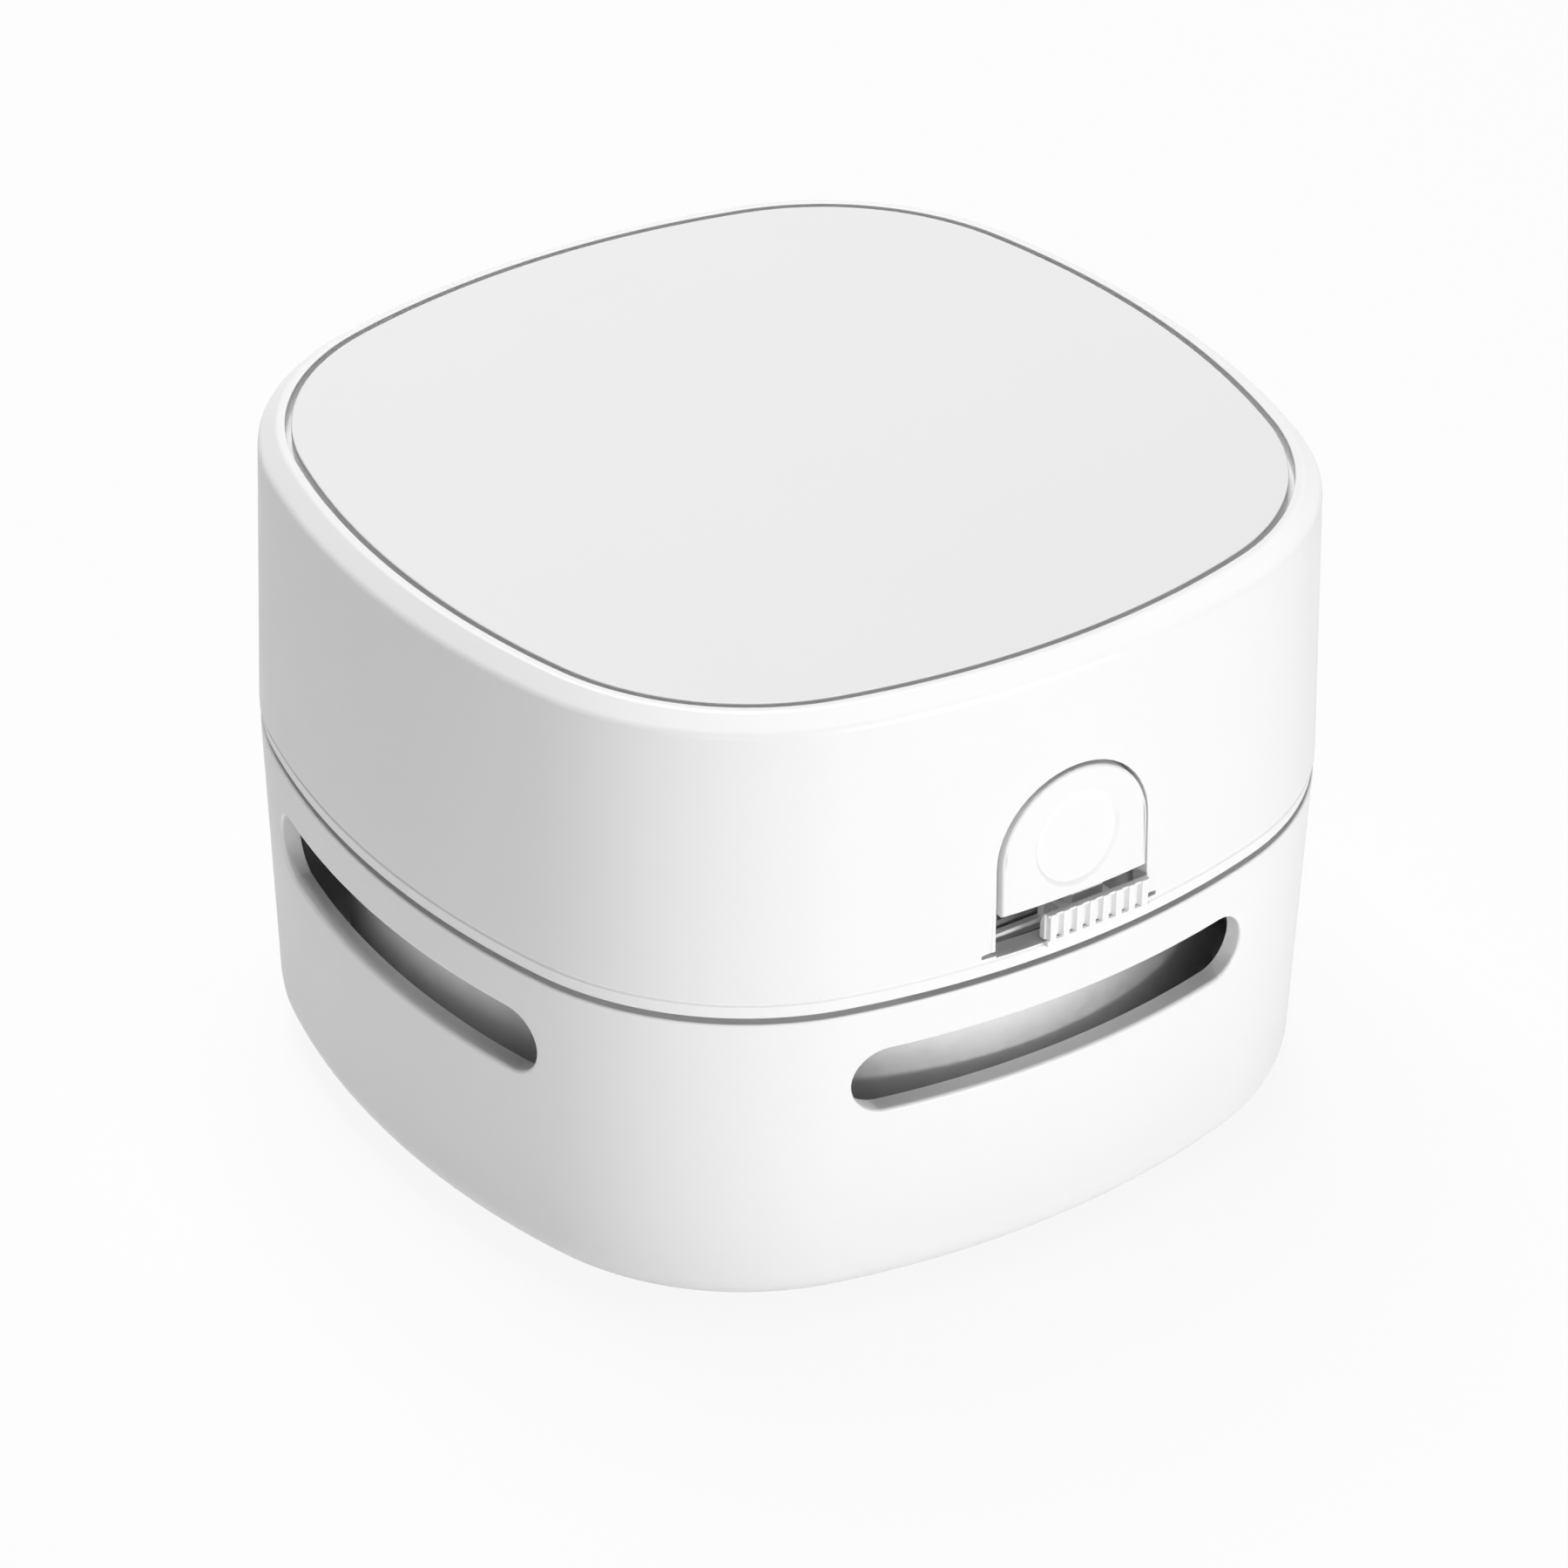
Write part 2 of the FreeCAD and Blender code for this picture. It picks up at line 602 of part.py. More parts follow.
# ---- head: housing and cover ------------------------------------------------
def upper_housing():
    """Outer shell of the head, open below, with a recess for the cover above."""
    body = stack(
        (head_half(HEAD_FOOT_Z) - CREASE_INSET, HEAD_FOOT_Z),
        (head_half(CREASE_Z), CREASE_Z),
        (head_half(TOP_Z - RIM_DROP), TOP_Z - RIM_DROP),
        (head_half(TOP_Z) - RIM_WIDTH, TOP_Z),
    )
    body = body.makeFillet(RIM_ROUND[0], edges_at(body, TOP_Z - RIM_DROP))
    body = body.makeFillet(RIM_ROUND[1], edges_at(body, TOP_Z))
    recess = COVER_HALF + COVER_GAP
    body = body.cut([
        head_core(WALL, HEAD_FOOT_Z, LEDGE_Z),
        stack((LEDGE_HALF, LEDGE_Z), (LEDGE_HALF, RECESS_Z)),
        stack((recess, RECESS_Z), (recess, TOP_Z)),
    ])
    slit_y = (-HALF - 1, -HALF + SLIT_DEPTH)
    slit = block(SLIT_X, slit_y, SLIT_Z)
    usb_hole = stadium(USB_W / 2 + USB_CLEAR, USB_H + 2 * USB_CLEAR, USB_Z, (HALF - 5, HALF + 1))
    body = body.cut([arch(ARCH_HALF, ARCH_BOTTOM_Z, ARCH_SPRING_Z, THROUGH_FRONT), slit, usb_hole])
    body = body.fuse(housing_bosses() + housing_ribs())
    boss_bore = (BRACKET_Z[1], BRACKET_Z[1] + BOSS_BORE)
    board_bore = (CHARGE_BOARD_Z - BOARD_BORE_H, CHARGE_BOARD_Z)
    pilots = [post(SCREW_HOLE_R, boss_bore, x, y) for x, y in corners(BOSS_XY)]
    pilots += [post(SCREW_HOLE_R, board_bore, side * BOARD_SCREW_X, BOARD_SCREW_Y) for side in (-1, 1)]
    return body.cut(pilots).removeSplitter()


def housing_bosses():
    """Screw bosses in the four corners, down to the motor bracket."""
    return [post(BOSS_R, (BRACKET_Z[1], LEDGE_Z + LEDGE_T / 2), x, y) for x, y in corners(BOSS_XY)]


def housing_ribs():
    """Corner ribs that rest on the lip, rails for the button, and posts for the charging board."""
    reach = math.sqrt(2) * CORNER_CENTRE + CORNER_R
    rib_x = (reach - RIB_REACH[0], reach - RIB_REACH[1])
    rest = block(rib_x, (-RIB_HALF, RIB_HALF), (LIP_TOP_Z, RIB_TOP_Z))
    ribs = [turned(rest, a + 45) for a in QUARTERS]
    rail = BUTTON_EAR_HALF + FIT + SNUG
    for side in (-1, 1):
        rail_x = sorted((side * rail, side * (rail + RAIL_T)))
        ribs.append(block(rail_x, RAIL_Y, RAIL_Z))
        middle = side * BOARD_SCREW_X
        boss_x = (middle - BOARD_BOSS_HALF, middle + BOARD_BOSS_HALF)
        boss_y = (BOARD_BOSS_FRONT_Y, HALF - WALL)
        ribs.append(block(boss_x, boss_y, (BOARD_BOSS_FOOT_Z, CHARGE_BOARD_Z)))
    return ribs


def top_cover():
    """Flush panel in the top, held by four clips under the housing's ledge."""
    plate = stack((COVER_HALF, RECESS_Z), (COVER_HALF, TOP_Z))
    plate = plate.makeFillet(COVER_ROUND, edges_at(plate, TOP_Z))
    front = -LEDGE_HALF + FIT
    under, foot = LEDGE_Z - CLIP_PLAY, LEDGE_Z - CLIP_H
    section = [
        (front, RECESS_Z), (front, under), (front - CLIP_BARB, under),
        (front - CLIP_TIP, foot), (front + CLIP_T, foot), (front + CLIP_T, RECESS_Z),
    ]
    wire = Part.makePolygon([V(-CLIP_W / 2, y, z) for y, z in section + section[:1]])
    clip = Part.Face(wire).extrude(V(CLIP_W, 0, 0))
    return plate.fuse([turned(clip, a) for a in QUARTERS])


# ---- head: button and switch ------------------------------------------------
def release_button():
    """Arch-shaped push button with a hidden flange and two hooked legs."""
    low = BUTTON_EAR_Z[0]
    front = THROUGH_FRONT
    half = ARCH_HALF - BUTTON_GAP
    flange_inset = WALL + 0.25
    face = head_core(-BUTTON_PROUD).cut(head_core(flange_inset))
    face = face.common(arch(half, BUTTON_BOTTOM_Z, ARCH_SPRING_Z, front))
    behind = head_core(flange_inset).cut(head_core(flange_inset + BUTTON_FLANGE_T))
    ears = block((-BUTTON_EAR_HALF, BUTTON_EAR_HALF), front, BUTTON_EAR_Z)
    flange = behind.common(arch(ARCH_HALF + 1.5, low, ARCH_SPRING_Z, front).fuse(ears))
    dimple = head_core(-BUTTON_PROUD).cut(head_core(DIMPLE_DEPTH - BUTTON_PROUD))
    dimple = dimple.common(post_y(DIMPLE_R, front, 0, ARCH_SPRING_Z))
    behind_lip = (-HALF + BUTTON_LIP_T, THROUGH_FRONT[1])
    thin_edge = block((-ARCH_HALF, ARCH_HALF), behind_lip, (BUTTON_BOTTOM_Z, low))
    button = face.cut(thin_edge).fuse(flange).cut(dimple)
    for side in (-1, 1):
        button = button.fuse([leg(side), post_y(PIN_R, BUTTON_PIN_Y, side * SPRING_X, SPRING_Z)])
    return button.removeSplitter()


def leg(side):
    """Leg beside the switch, with a hook that points forwards."""
    foot = LEG_FOOT_Z
    top = BUTTON_EAR_Z[1]
    shoulder = BUTTON_EAR_Z[0] + 0.4
    section = [
        (LEG_BACK_Y, top), (LEG_BACK_Y, foot), (LEG_FRONT_Y, foot), (HOOK_REACH_Y, foot + 0.5),
        (HOOK_REACH_Y, foot + HOOK_H), (LEG_FRONT_Y, foot + HOOK_H), (LEG_FRONT_Y, shoulder),
        (LEG_FRONT_Y - 0.6, shoulder), (LEG_FRONT_Y - 0.6, top),
    ]
    x = side * (BUTTON_EAR_HALF - BUTTON_EAR_W / 2) - BUTTON_EAR_W / 2
    wire = Part.makePolygon([V(x, y, z) for y, z in section + section[:1]])
    return Part.Face(wire).extrude(V(BUTTON_EAR_W, 0, 0))


def button_springs():
    """Two coil springs that push the button back out."""
    steps = SPRING_TURNS * SPRING_STEPS
    coil = Part.makeLoft([wire_section(i / steps) for i in range(steps + 1)], True, True)
    coil.rotate(V(), V(1, 0, 0), -90)
    springs = []
    for side in (-1, 1):
        spring = coil.copy()
        spring.translate(V(side * SPRING_X, SPRING_FRONT_Y + SPRING_WIRE_R, SPRING_Z))
        springs.append(spring)
    return Part.makeCompound(springs)


def wire_section(part):
    """Six-sided section of the spring wire, a given part of the way along the coil."""
    length = SPRING_BACK_Y - SPRING_FRONT_Y - 2 * SPRING_WIRE_R
    turn = 2 * math.pi * SPRING_TURNS * part
    outwards = V(math.cos(turn), math.sin(turn), 0)
    rise = length / (2 * math.pi * SPRING_TURNS)
    across = V(-outwards.y * SPRING_MEAN_R, outwards.x * SPRING_MEAN_R, rise).normalize().cross(outwards)
    centre = outwards * SPRING_MEAN_R + V(0, 0, length * part)
    points = []
    for i in range(7):
        angle = math.radians(60 * i)
        offset = outwards * math.cos(angle) + across * math.sin(angle)
        points.append(centre + offset * SPRING_WIRE_R)
    return Part.makePolygon(points)


def switch_knob():
    """Ribbed thumb slide in the lower part of the arch: a plate, a neck and a flange."""
    low, high = KNOB_Z
    front = -HALF - KNOB_PROUD
    back = front + KNOB_T
    section = [
        (front, low), (front, high), (front + KNOB_EDGE_T, high), (back, high - KNOB_SLOPE_H), (back, low),
    ]
    wire = Part.makePolygon([V(KNOB_X - KNOB_W / 2, y, z) for y, z in section + section[:1]])
    pad = Part.Face(wire).extrude(V(KNOB_W, 0, 0))
    pad = pad.makeFillet(KNOB_ROUND, [e for e in pad.Edges if e.BoundBox.YMax < front + 0.01])
    first = KNOB_X - KNOB_PITCH * (KNOB_GROOVES - 1) / 2
    w = KNOB_GROOVE_W / 2
    deep = KNOB_GROOVE_DEPTH
    groove = [(-w, -1), (w, -1), (w, 0), (w / 2, deep), (-w / 2, deep), (-w, 0)]
    for i in range(KNOB_GROOVES):
        middle = first + i * KNOB_PITCH
        wire = Part.makePolygon([V(middle + gx, front + gy, low) for gx, gy in groove + groove[:1]])
        pad = pad.cut(Part.Face(wire).extrude(V(0, 0, high - low)))
    neck = block(centred(KNOB_NECK_HALF, KNOB_X), (back, KNOB_FLANGE_Y[0]), (low, KNOB_NECK_TOP_Z))
    boss = block(centred(KNOB_BOSS_HALF, KNOB_X), (KNOB_BOSS_FRONT_Y, KNOB_FLANGE_Y[0]), KNOB_Z)
    flange = block(centred(KNOB_FLANGE_HALF, KNOB_X), KNOB_FLANGE_Y, KNOB_FLANGE_Z)
    socket_z = (LEVER_Z[0] - LEVER_FIT, LEVER_Z[1] + LEVER_FIT)
    socket = block(centred(LEVER_HALF + LEVER_FIT, KNOB_X), (LEVER_Y[0] - SNUG, KNOB_FLANGE_Y[1]), socket_z)
    return pad.fuse([neck, boss, flange]).cut(socket).removeSplitter()


def switch_lever():
    return block(centred(LEVER_HALF, KNOB_X), LEVER_Y, LEVER_Z)


def switch_body():
    """Slide switch on its board, with the slot that its lever runs in."""
    body = block(centred(SWITCH_HALF), (SWITCH_FRONT_Y, SWITCH_BOARD_Y), SWITCH_Z)
    track_y = (SWITCH_FRONT_Y, SWITCH_TRACK_BACK_Y)
    body = body.cut(block(centred(SWITCH_TRACK_HALF), track_y, SWITCH_TRACK_Z))
    notch_y = (SWITCH_FRONT_Y, SWITCH_NOTCH_BACK_Y)
    for side in (-1, 1):
        body = body.cut(block(centred(SWITCH_NOTCH_HALF, side * SWITCH_NOTCH_X), notch_y, SWITCH_Z))
    return body


def switch_board():
    return block(centred(SWITCH_BOARD_HALF), (SWITCH_BOARD_Y, SWITCH_BOARD_Y + BOARD_T), SWITCH_BOARD_Z)


# ---- head: motor bracket, motor and fan -------------------------------------
def motor_bracket():
    """Plate across the head that carries the motor, the fan cover, the battery and the switch."""
    low, high = BRACKET_Z
    half = head_half(high) - BRACKET_INSET
    plate = stack((half, low), (half, high))
    wall_front, wall_back = SPRING_WALL_Y
    adds = [post(PILLAR_R, (FAN_COVER_Z[1], low), x, y) for x, y in corners(PILLAR_XY)]
    adds.append(block(centred(SPRING_WALL_HALF), SPRING_WALL_Y, (high, SPRING_WALL_TOP_Z)))
    for side in (-1, 1):
        adds.append(post_y(PIN_R, (SPRING_PIN_FRONT_Y, wall_front), side * SPRING_X, SPRING_Z))
        arm_x = centred(BOARD_ARM_HALF, side * BOARD_ARM_X)
        adds.append(block(arm_x, BOARD_ARM_Y, (BOARD_ARM_FOOT_Z, low)))
        cheek_y = cradle_wall(side * (CELL_R + CRADLE_FIT))
        adds.append(block(centred(CRADLE_HALF), cheek_y, (high, CRADLE_TOP_Z)))
        stop_x = sorted(side * x for x in CELL_STOP_X)
        adds.append(block(stop_x, CELL_STOP_Y, (high, CELL_STOP_TOP_Z)))
        stay_x = sorted(side * x for x in SPRING_STAY_X)
        adds.append(block(stay_x, (wall_back, SPRING_STAY_BACK_Y), (high, SPRING_STAY_TOP_Z)))
    plate = plate.fuse(adds)
    latch_gap = block(centred(LIP_GAP_HALF), (-HALF, LATCH_GAP_BACK_Y), (low - 1, high + 1))
    plate = plate.cut([latch_gap, post(MOTOR_NOSE_R + SNUG, (low, high))])
    plate = plate.cut([countersink(side * MOTOR_SCREW_X) for side in (-1, 1)])
    plate = plate.cut([post(SCREW_HOLE_R, (low, high), x, y) for x, y in corners(BOSS_XY)])
    plate = plate.cut([post(SCREW_HOLE_R, (FAN_COVER_Z[1], low - 1), x, y) for x, y in corners(PILLAR_XY)])
    board_y = (SWITCH_BOARD_Y - LEVER_FIT, SWITCH_BOARD_Y + BOARD_T + LEVER_FIT)
    slot = block(centred(SWITCH_BOARD_HALF + SNUG), board_y, (BOARD_ARM_FOOT_Z, low))
    return plate.cut(slot).removeSplitter()


def cradle_wall(offset):
    """The y limits of a low wall beside the battery cell."""
    inner = CELL_Y + offset
    return sorted((inner, inner + math.copysign(CRADLE_T, offset)))


def countersink(x):
    low, high = BRACKET_Z
    cone = Part.makeCone(CONE_R, SCREW_HOLE_R, CONE_H, V(x, 0, low))
    return cone.fuse(post(SCREW_HOLE_R, (low, high), x, 0))


def motor_screws():
    low = BRACKET_Z[0] + MOTOR_SCREW_FIT
    screws = []
    for x in (-MOTOR_SCREW_X, MOTOR_SCREW_X):
        head = Part.makeCone(SCREW_HEAD_R, MOTOR_SCREW_R, CONE_H, V(x, 0, low))
        screws.append(head.fuse(post(MOTOR_SCREW_R, (low, MOTOR_Z[0] + MOTOR_WALL), x, 0)))
    return Part.makeCompound(screws)


def bracket_screws():
    low = BRACKET_Z[0]
    return Part.makeCompound([
        screw(x, y, low - SCREW_HEAD_H, low, BRACKET_Z[1] + BRACKET_SCREW_REACH) for x, y in corners(BOSS_XY)
    ])


def motor_can():
    """Steel can of the motor, with the nose that centres it in the bracket."""
    low, high = MOTOR_Z
    nose = BRACKET_Z[0] + HEAD_FIT
    bore = SHAFT_R + BEARING_FIT
    inner = MOTOR_R - MOTOR_WALL
    can = revolve([
        (bore, nose), (MOTOR_NOSE_R, nose), (MOTOR_NOSE_R, low),
        (MOTOR_R - MOTOR_CHAMFER, low), (MOTOR_R, low + MOTOR_CHAMFER), (MOTOR_R, high), (inner, high),
        (inner, low + MOTOR_WALL), (bore, low + MOTOR_WALL),
    ])
    hole = MOTOR_SCREW_R + MOTOR_SCREW_FIT
    return can.cut([post(hole, (low, low + MOTOR_WALL), side * MOTOR_SCREW_X, 0) for side in (-1, 1)])


def motor_magnet():
    return ring((MAGNET_IN_R, MOTOR_R - MOTOR_WALL - PRESS_FIT), MAGNET_Z)


def motor_end_cap():
    """Plastic end of the motor, with its rear bearing and two terminals."""
    low, high = MOTOR_Z[1] - END_CAP_T, MOTOR_Z[1]
    cap = post(MOTOR_R - MOTOR_WALL - PRESS_FIT, (low, high))
    cap = cap.fuse(post(BEARING_R, (high, high + BEARING_H)))
    cap = cap.cut(post(SHAFT_R + BEARING_FIT, (low, high - BEARING_H)))
    terminal = block(centred(TERMINAL_HALF, TERMINAL_X), centred(TERMINAL_T / 2), (high, high + TERMINAL_H))
    return cap.fuse([turned(terminal, a) for a in (0, 180)])


def motor_armature():
    """Three-pole armature and commutator on the shaft."""
    low, high = ARMATURE_Z
    pole = block((0, SHOE_R[0]), centred(POLE_HALF), ARMATURE_Z)
    shoe = ring(SHOE_R, ARMATURE_Z).common(block((0, MOTOR_R), centred(SHOE_HALF), ARMATURE_Z))
    winding = block(WINDING_X, centred(WINDING_HALF), (low + WINDING_INSET, high - WINDING_INSET))
    core = post(ARMATURE_CORE_R, (low, COMMUTATOR_TOP_Z))
    core = core.fuse([turned(part, turn) for turn in (90, 210, 330) for part in (pole, shoe, winding)])
    return core.cut(post(SHAFT_R, (low, COMMUTATOR_TOP_Z))).removeSplitter()


def motor_shaft():
    return post(SHAFT_R, SHAFT_Z)


def impeller():
    """Backward-curved centrifugal wheel: blades hang from a disc on the motor side."""
    low, high = IMPELLER_Z
    disc_low = high - IMPELLER_DISC_T
    disc = post(IMPELLER_R, (disc_low, high))
    hub = revolve([
        (0, low + 0.8), (1.6, low + 1.0), (HUB_R - 0.4, low + 2.6), (HUB_R, low + 4.4),
        (HUB_FOOT_R, disc_low), (HUB_FOOT_R, high), (0, high),
    ])
    step = 360.0 / IMPELLER_BLADES
    wheel = disc.fuse([hub] + [turned(blade(low, disc_low), i * step) for i in range(IMPELLER_BLADES)])
    return wheel.cut(post(SHAFT_R, (SHAFT_Z[0], high))).removeSplitter()


def blade(low, high):
    """One blade: part of a thin ring set off the axis, from the eye to the rim."""
    arc = ring((BLADE_ARC_R - BLADE_T / 2, BLADE_ARC_R + BLADE_T / 2), (low, high))
    arc.translate(V(BLADE_ARC_OFFSET, 0, 0))
    span = ring((BLADE_START_R, IMPELLER_R - BLADE_TIP_GAP), (low, high))
    one_side = block((0, IMPELLER_R), (-IMPELLER_R, 0), (low, high))
    return arc.common(span).common(one_side)


def fan_cover():
    """Plate under the impeller: guard grille in its eye, and a skirt down to the filter."""
    plate = ring((FAN_EYE_R, FAN_COVER_R), FAN_COVER_Z)
    skirt = ring(SKIRT_R, (SKIRT_FOOT_Z, FAN_COVER_Z[0]))
    bars = [ring(centred(GUARD_HALF, r), FAN_COVER_Z) for r in GUARD_RINGS]
    spoke = block((0, FAN_EYE_R + GUARD_HALF), centred(GUARD_HALF), FAN_COVER_Z)
    bars += [turned(spoke, i * 360.0 / GUARD_SPOKES) for i in range(GUARD_SPOKES)]
    cover = plate.fuse([skirt, post(GUARD_HUB_R, FAN_COVER_Z)] + bars)
    for x, y in corners(PILLAR_XY):
        cover = cover.cut(post(SCREW_HOLE_R, FAN_COVER_Z, x, y))
    return cover.removeSplitter()


def cover_screws():
    low, high = FAN_COVER_Z
    return Part.makeCompound([
        screw(x, y, low - SCREW_HEAD_H, low, high + COVER_SCREW_REACH) for x, y in corners(PILLAR_XY)
    ])


def seal_ring():
    """Soft ring on the skirt that closes on the filter's rim."""
    inner, outer = SKIRT_R
    edge = SEAL_Z + SEAL_LIP
    return revolve([
        (inner - SEAL_OVERHANG, SKIRT_FOOT_Z), (inner - SEAL_OVERHANG, edge), (inner, SEAL_Z),
        (outer, SEAL_Z), (outer + SEAL_OVERHANG, edge), (outer + SEAL_OVERHANG, SKIRT_FOOT_Z),
    ])


# ---- head: battery and charging ---------------------------------------------
def battery_cell():
    """Cylindrical lithium cell lying across the head behind the motor."""
    origin = V(-CELL_HALF, CELL_Y, CELL_Z)
    cell = Part.makeCylinder(CELL_R, 2 * CELL_HALF, origin, V(1, 0, 0))
    cell = cell.makeFillet(CELL_ROUND, [e for e in cell.Edges if e.BoundBox.XLength < 0.01])
    cap = Part.makeCylinder(CELL_CAP_R, CELL_CAP_H, V(CELL_HALF, CELL_Y, CELL_Z), V(1, 0, 0))
    return cell.fuse(cap)


def battery_tabs():
    """Two nickel tabs on the ends of the cell."""
    y = centred(TAB_HALF, CELL_Y)
    z = (CELL_Z + TAB_RISE[0], CELL_Z + TAB_RISE[1])
    positive = CELL_HALF + CELL_CAP_H
    return Part.makeCompound([
        block((positive, positive + TAB_T), y, z), block((-CELL_HALF - TAB_T, -CELL_HALF), y, z)
    ])


def charge_board():
    """Charging board with its controller chip, coil and two capacitors."""
    z = CHARGE_BOARD_Z
    top = z + BOARD_T
    board = block((-CHARGE_BOARD_HALF, CHARGE_BOARD_HALF), CHARGE_BOARD_Y, (z, top))
    board = board.fuse([
        block((-11.5, -7), (30.2, 34), (top, top + 1.2)),
        block((6.2, 10.6), (30.2, 33.8), (top, top + 1.8)),
        block((-4.5, -2.9), (30.4, 32), (top, top + 0.8)),
        block((2.4, 4), (30.4, 32), (top, top + 0.8)),
    ])
    return board.cut([post(SCREW_HOLE_R, (z, top), side * BOARD_SCREW_X, BOARD_SCREW_Y) for side in (-1, 1)])


def board_screws():
    low, high = CHARGE_BOARD_Z + BOARD_T, CHARGE_BOARD_Z + BOARD_T + BOARD_SCREW_HEAD_H
    tip = CHARGE_BOARD_Z - BOARD_SCREW_DEPTH
    return Part.makeCompound([
        screw(side * BOARD_SCREW_X, BOARD_SCREW_Y, low, high, tip) for side in (-1, 1)
    ])


def usb_socket():
    """Charging socket: a rounded metal sleeve round a thin tongue."""
    back = USB_Y[0] + USB_BACK_T
    sleeve = stadium(USB_W / 2, USB_H, USB_Z, USB_Y)
    mouth = stadium(USB_W / 2 - USB_WALL, USB_H - 2 * USB_WALL, USB_Z, (back, USB_Y[1]))
    tongue_y = (back, USB_Y[1] - USB_TONGUE_SINK)
    tongue = block(centred(USB_TONGUE_HALF), tongue_y, centred(USB_TONGUE_T / 2, USB_Z))
    return sleeve.cut(mouth).fuse(tongue)


PIECES = (
    lower_shell, dust_cup, suction_mouth, bristles, glide_pads, base_screws,
    filter_frame, filter_mesh,
    upper_housing, top_cover, release_button, button_springs,
    switch_knob, switch_lever, switch_body, switch_board,
    motor_bracket, motor_screws, bracket_screws, motor_can, motor_magnet, motor_end_cap,
    motor_armature, motor_shaft, impeller, fan_cover, cover_screws, seal_ring,
    battery_cell, battery_tabs, charge_board, board_screws, usb_socket,
)

os.makedirs("parts", exist_ok=True)
for piece in PIECES:
    save(piece.__name__, piece())
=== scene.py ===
"""Desktop mini vacuum cleaner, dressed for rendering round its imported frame."""
import json
import math

import bmesh
import bpy
from bpy.props import FloatProperty, FloatVectorProperty, IntProperty, PointerProperty
from mathutils import Matrix, Vector

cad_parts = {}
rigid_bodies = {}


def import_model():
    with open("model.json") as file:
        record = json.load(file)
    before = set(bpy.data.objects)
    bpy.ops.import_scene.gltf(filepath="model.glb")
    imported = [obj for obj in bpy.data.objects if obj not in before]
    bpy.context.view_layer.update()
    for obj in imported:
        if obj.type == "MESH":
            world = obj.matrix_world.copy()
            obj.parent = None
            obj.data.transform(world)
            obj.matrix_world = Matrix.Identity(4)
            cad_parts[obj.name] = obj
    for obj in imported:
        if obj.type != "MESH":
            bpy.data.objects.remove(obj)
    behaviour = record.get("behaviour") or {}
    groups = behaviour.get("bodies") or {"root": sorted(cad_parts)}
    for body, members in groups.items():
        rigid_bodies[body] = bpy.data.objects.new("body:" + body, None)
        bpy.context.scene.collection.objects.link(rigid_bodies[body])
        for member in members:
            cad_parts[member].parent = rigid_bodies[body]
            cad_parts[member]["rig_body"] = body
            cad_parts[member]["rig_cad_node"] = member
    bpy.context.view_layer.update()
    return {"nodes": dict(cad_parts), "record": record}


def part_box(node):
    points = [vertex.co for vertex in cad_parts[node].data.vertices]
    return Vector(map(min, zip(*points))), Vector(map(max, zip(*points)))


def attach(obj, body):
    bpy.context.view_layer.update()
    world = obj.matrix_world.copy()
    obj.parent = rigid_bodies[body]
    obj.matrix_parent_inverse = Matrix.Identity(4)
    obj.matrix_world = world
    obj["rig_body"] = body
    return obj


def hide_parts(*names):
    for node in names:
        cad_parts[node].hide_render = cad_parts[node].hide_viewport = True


bl_info = {
    "name": "Desktop Cleaner",
    "version": (1, 0, 0),
    "blender": (4, 5, 0),
    "location": "View3D > Sidebar > Cleaner",
    "description": "Builds a desktop mini vacuum cleaner piece by piece",
    "category": "Add Mesh",
}

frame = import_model()
MM = 0.001
SPIN_AXIS = Vector((0, 0, -1))    # spin turns clockwise about its axis, so this turns a section anticlockwise
QUARTERS = [math.radians(a) for a in (0, 90, 180, 270)]
FRONT = math.radians(-90)
GOLDEN_ANGLE = 2.39996      # radians, the turn that spreads points evenly over a disc
HEAD_LOW, HEAD_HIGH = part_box("upper_housing")
BOX_LOW, BOX_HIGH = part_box("lower_shell")
COVER_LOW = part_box("top_cover")[0]
CUP_LOW, CUP_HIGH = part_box("dust_cup")
MOUTH_LOW, MOUTH_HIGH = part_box("suction_mouth")
KNOB_LOW, KNOB_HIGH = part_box("switch_knob")
SOCKET_LOW, SOCKET_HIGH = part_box("usb_socket")
OUTSIDE = 45 * MM           # clear of every wall, where a cutter starts
BEHIND_WALL = 36 * MM       # where a cutter through the wall alone ends
WELL_INSIDE = 34 * MM       # where a cutter that also takes what stands behind the wall ends
OVERLAP = 0.2 * MM          # how far pieces that become one reach into each other
ON_FACE = 0.03 * MM         # how near an edge has to be to count as on a face


# ---- sizes and colours a user would change ----------------------------------
def length(name, millimetres, description):
    return FloatProperty(
        name=name, default=millimetres * MM, unit="LENGTH", precision=5, description=description
    )


def amount(name, default, description):
    return FloatProperty(name=name, default=default, min=0.0, description=description)


def number(name, default, description):
    return IntProperty(name=name, default=default, min=1, description=description)


def colour(name, default, description):
    return FloatVectorProperty(
        name=name, default=default, subtype="COLOR", min=0.0, max=1.0, description=description
    )


def angle(name, degrees, description):
    return FloatProperty(
        name=name, default=math.radians(degrees), subtype="ANGLE", unit="ROTATION", description=description
    )


class OutlineSizes(bpy.types.PropertyGroup):
    """The square outline with bulging sides that all the outer pieces follow."""
    half: length("Half-width", 42.0, "Half-width at the parting line")
    side_radius: length("Side radius", 80.0, "Radius of the four bulging sides")
    corner_radius: length("Corner radius", 26.0, "Radius of the four corners")
    parting: length("Parting height", 31.5, "Height of the line between head and dust box")
    gap: length("Parting gap", 0.53, "Gap between head and dust box")
    head_draft: angle("Head draft", 1.3, "How far the head narrows upwards")
    box_draft: angle("Box draft", 2.4, "How far the dust box narrows downwards")
    side_steps: number("Side steps", 26, "Faces along each side")
    corner_steps: number("Corner steps", 22, "Faces round each corner")


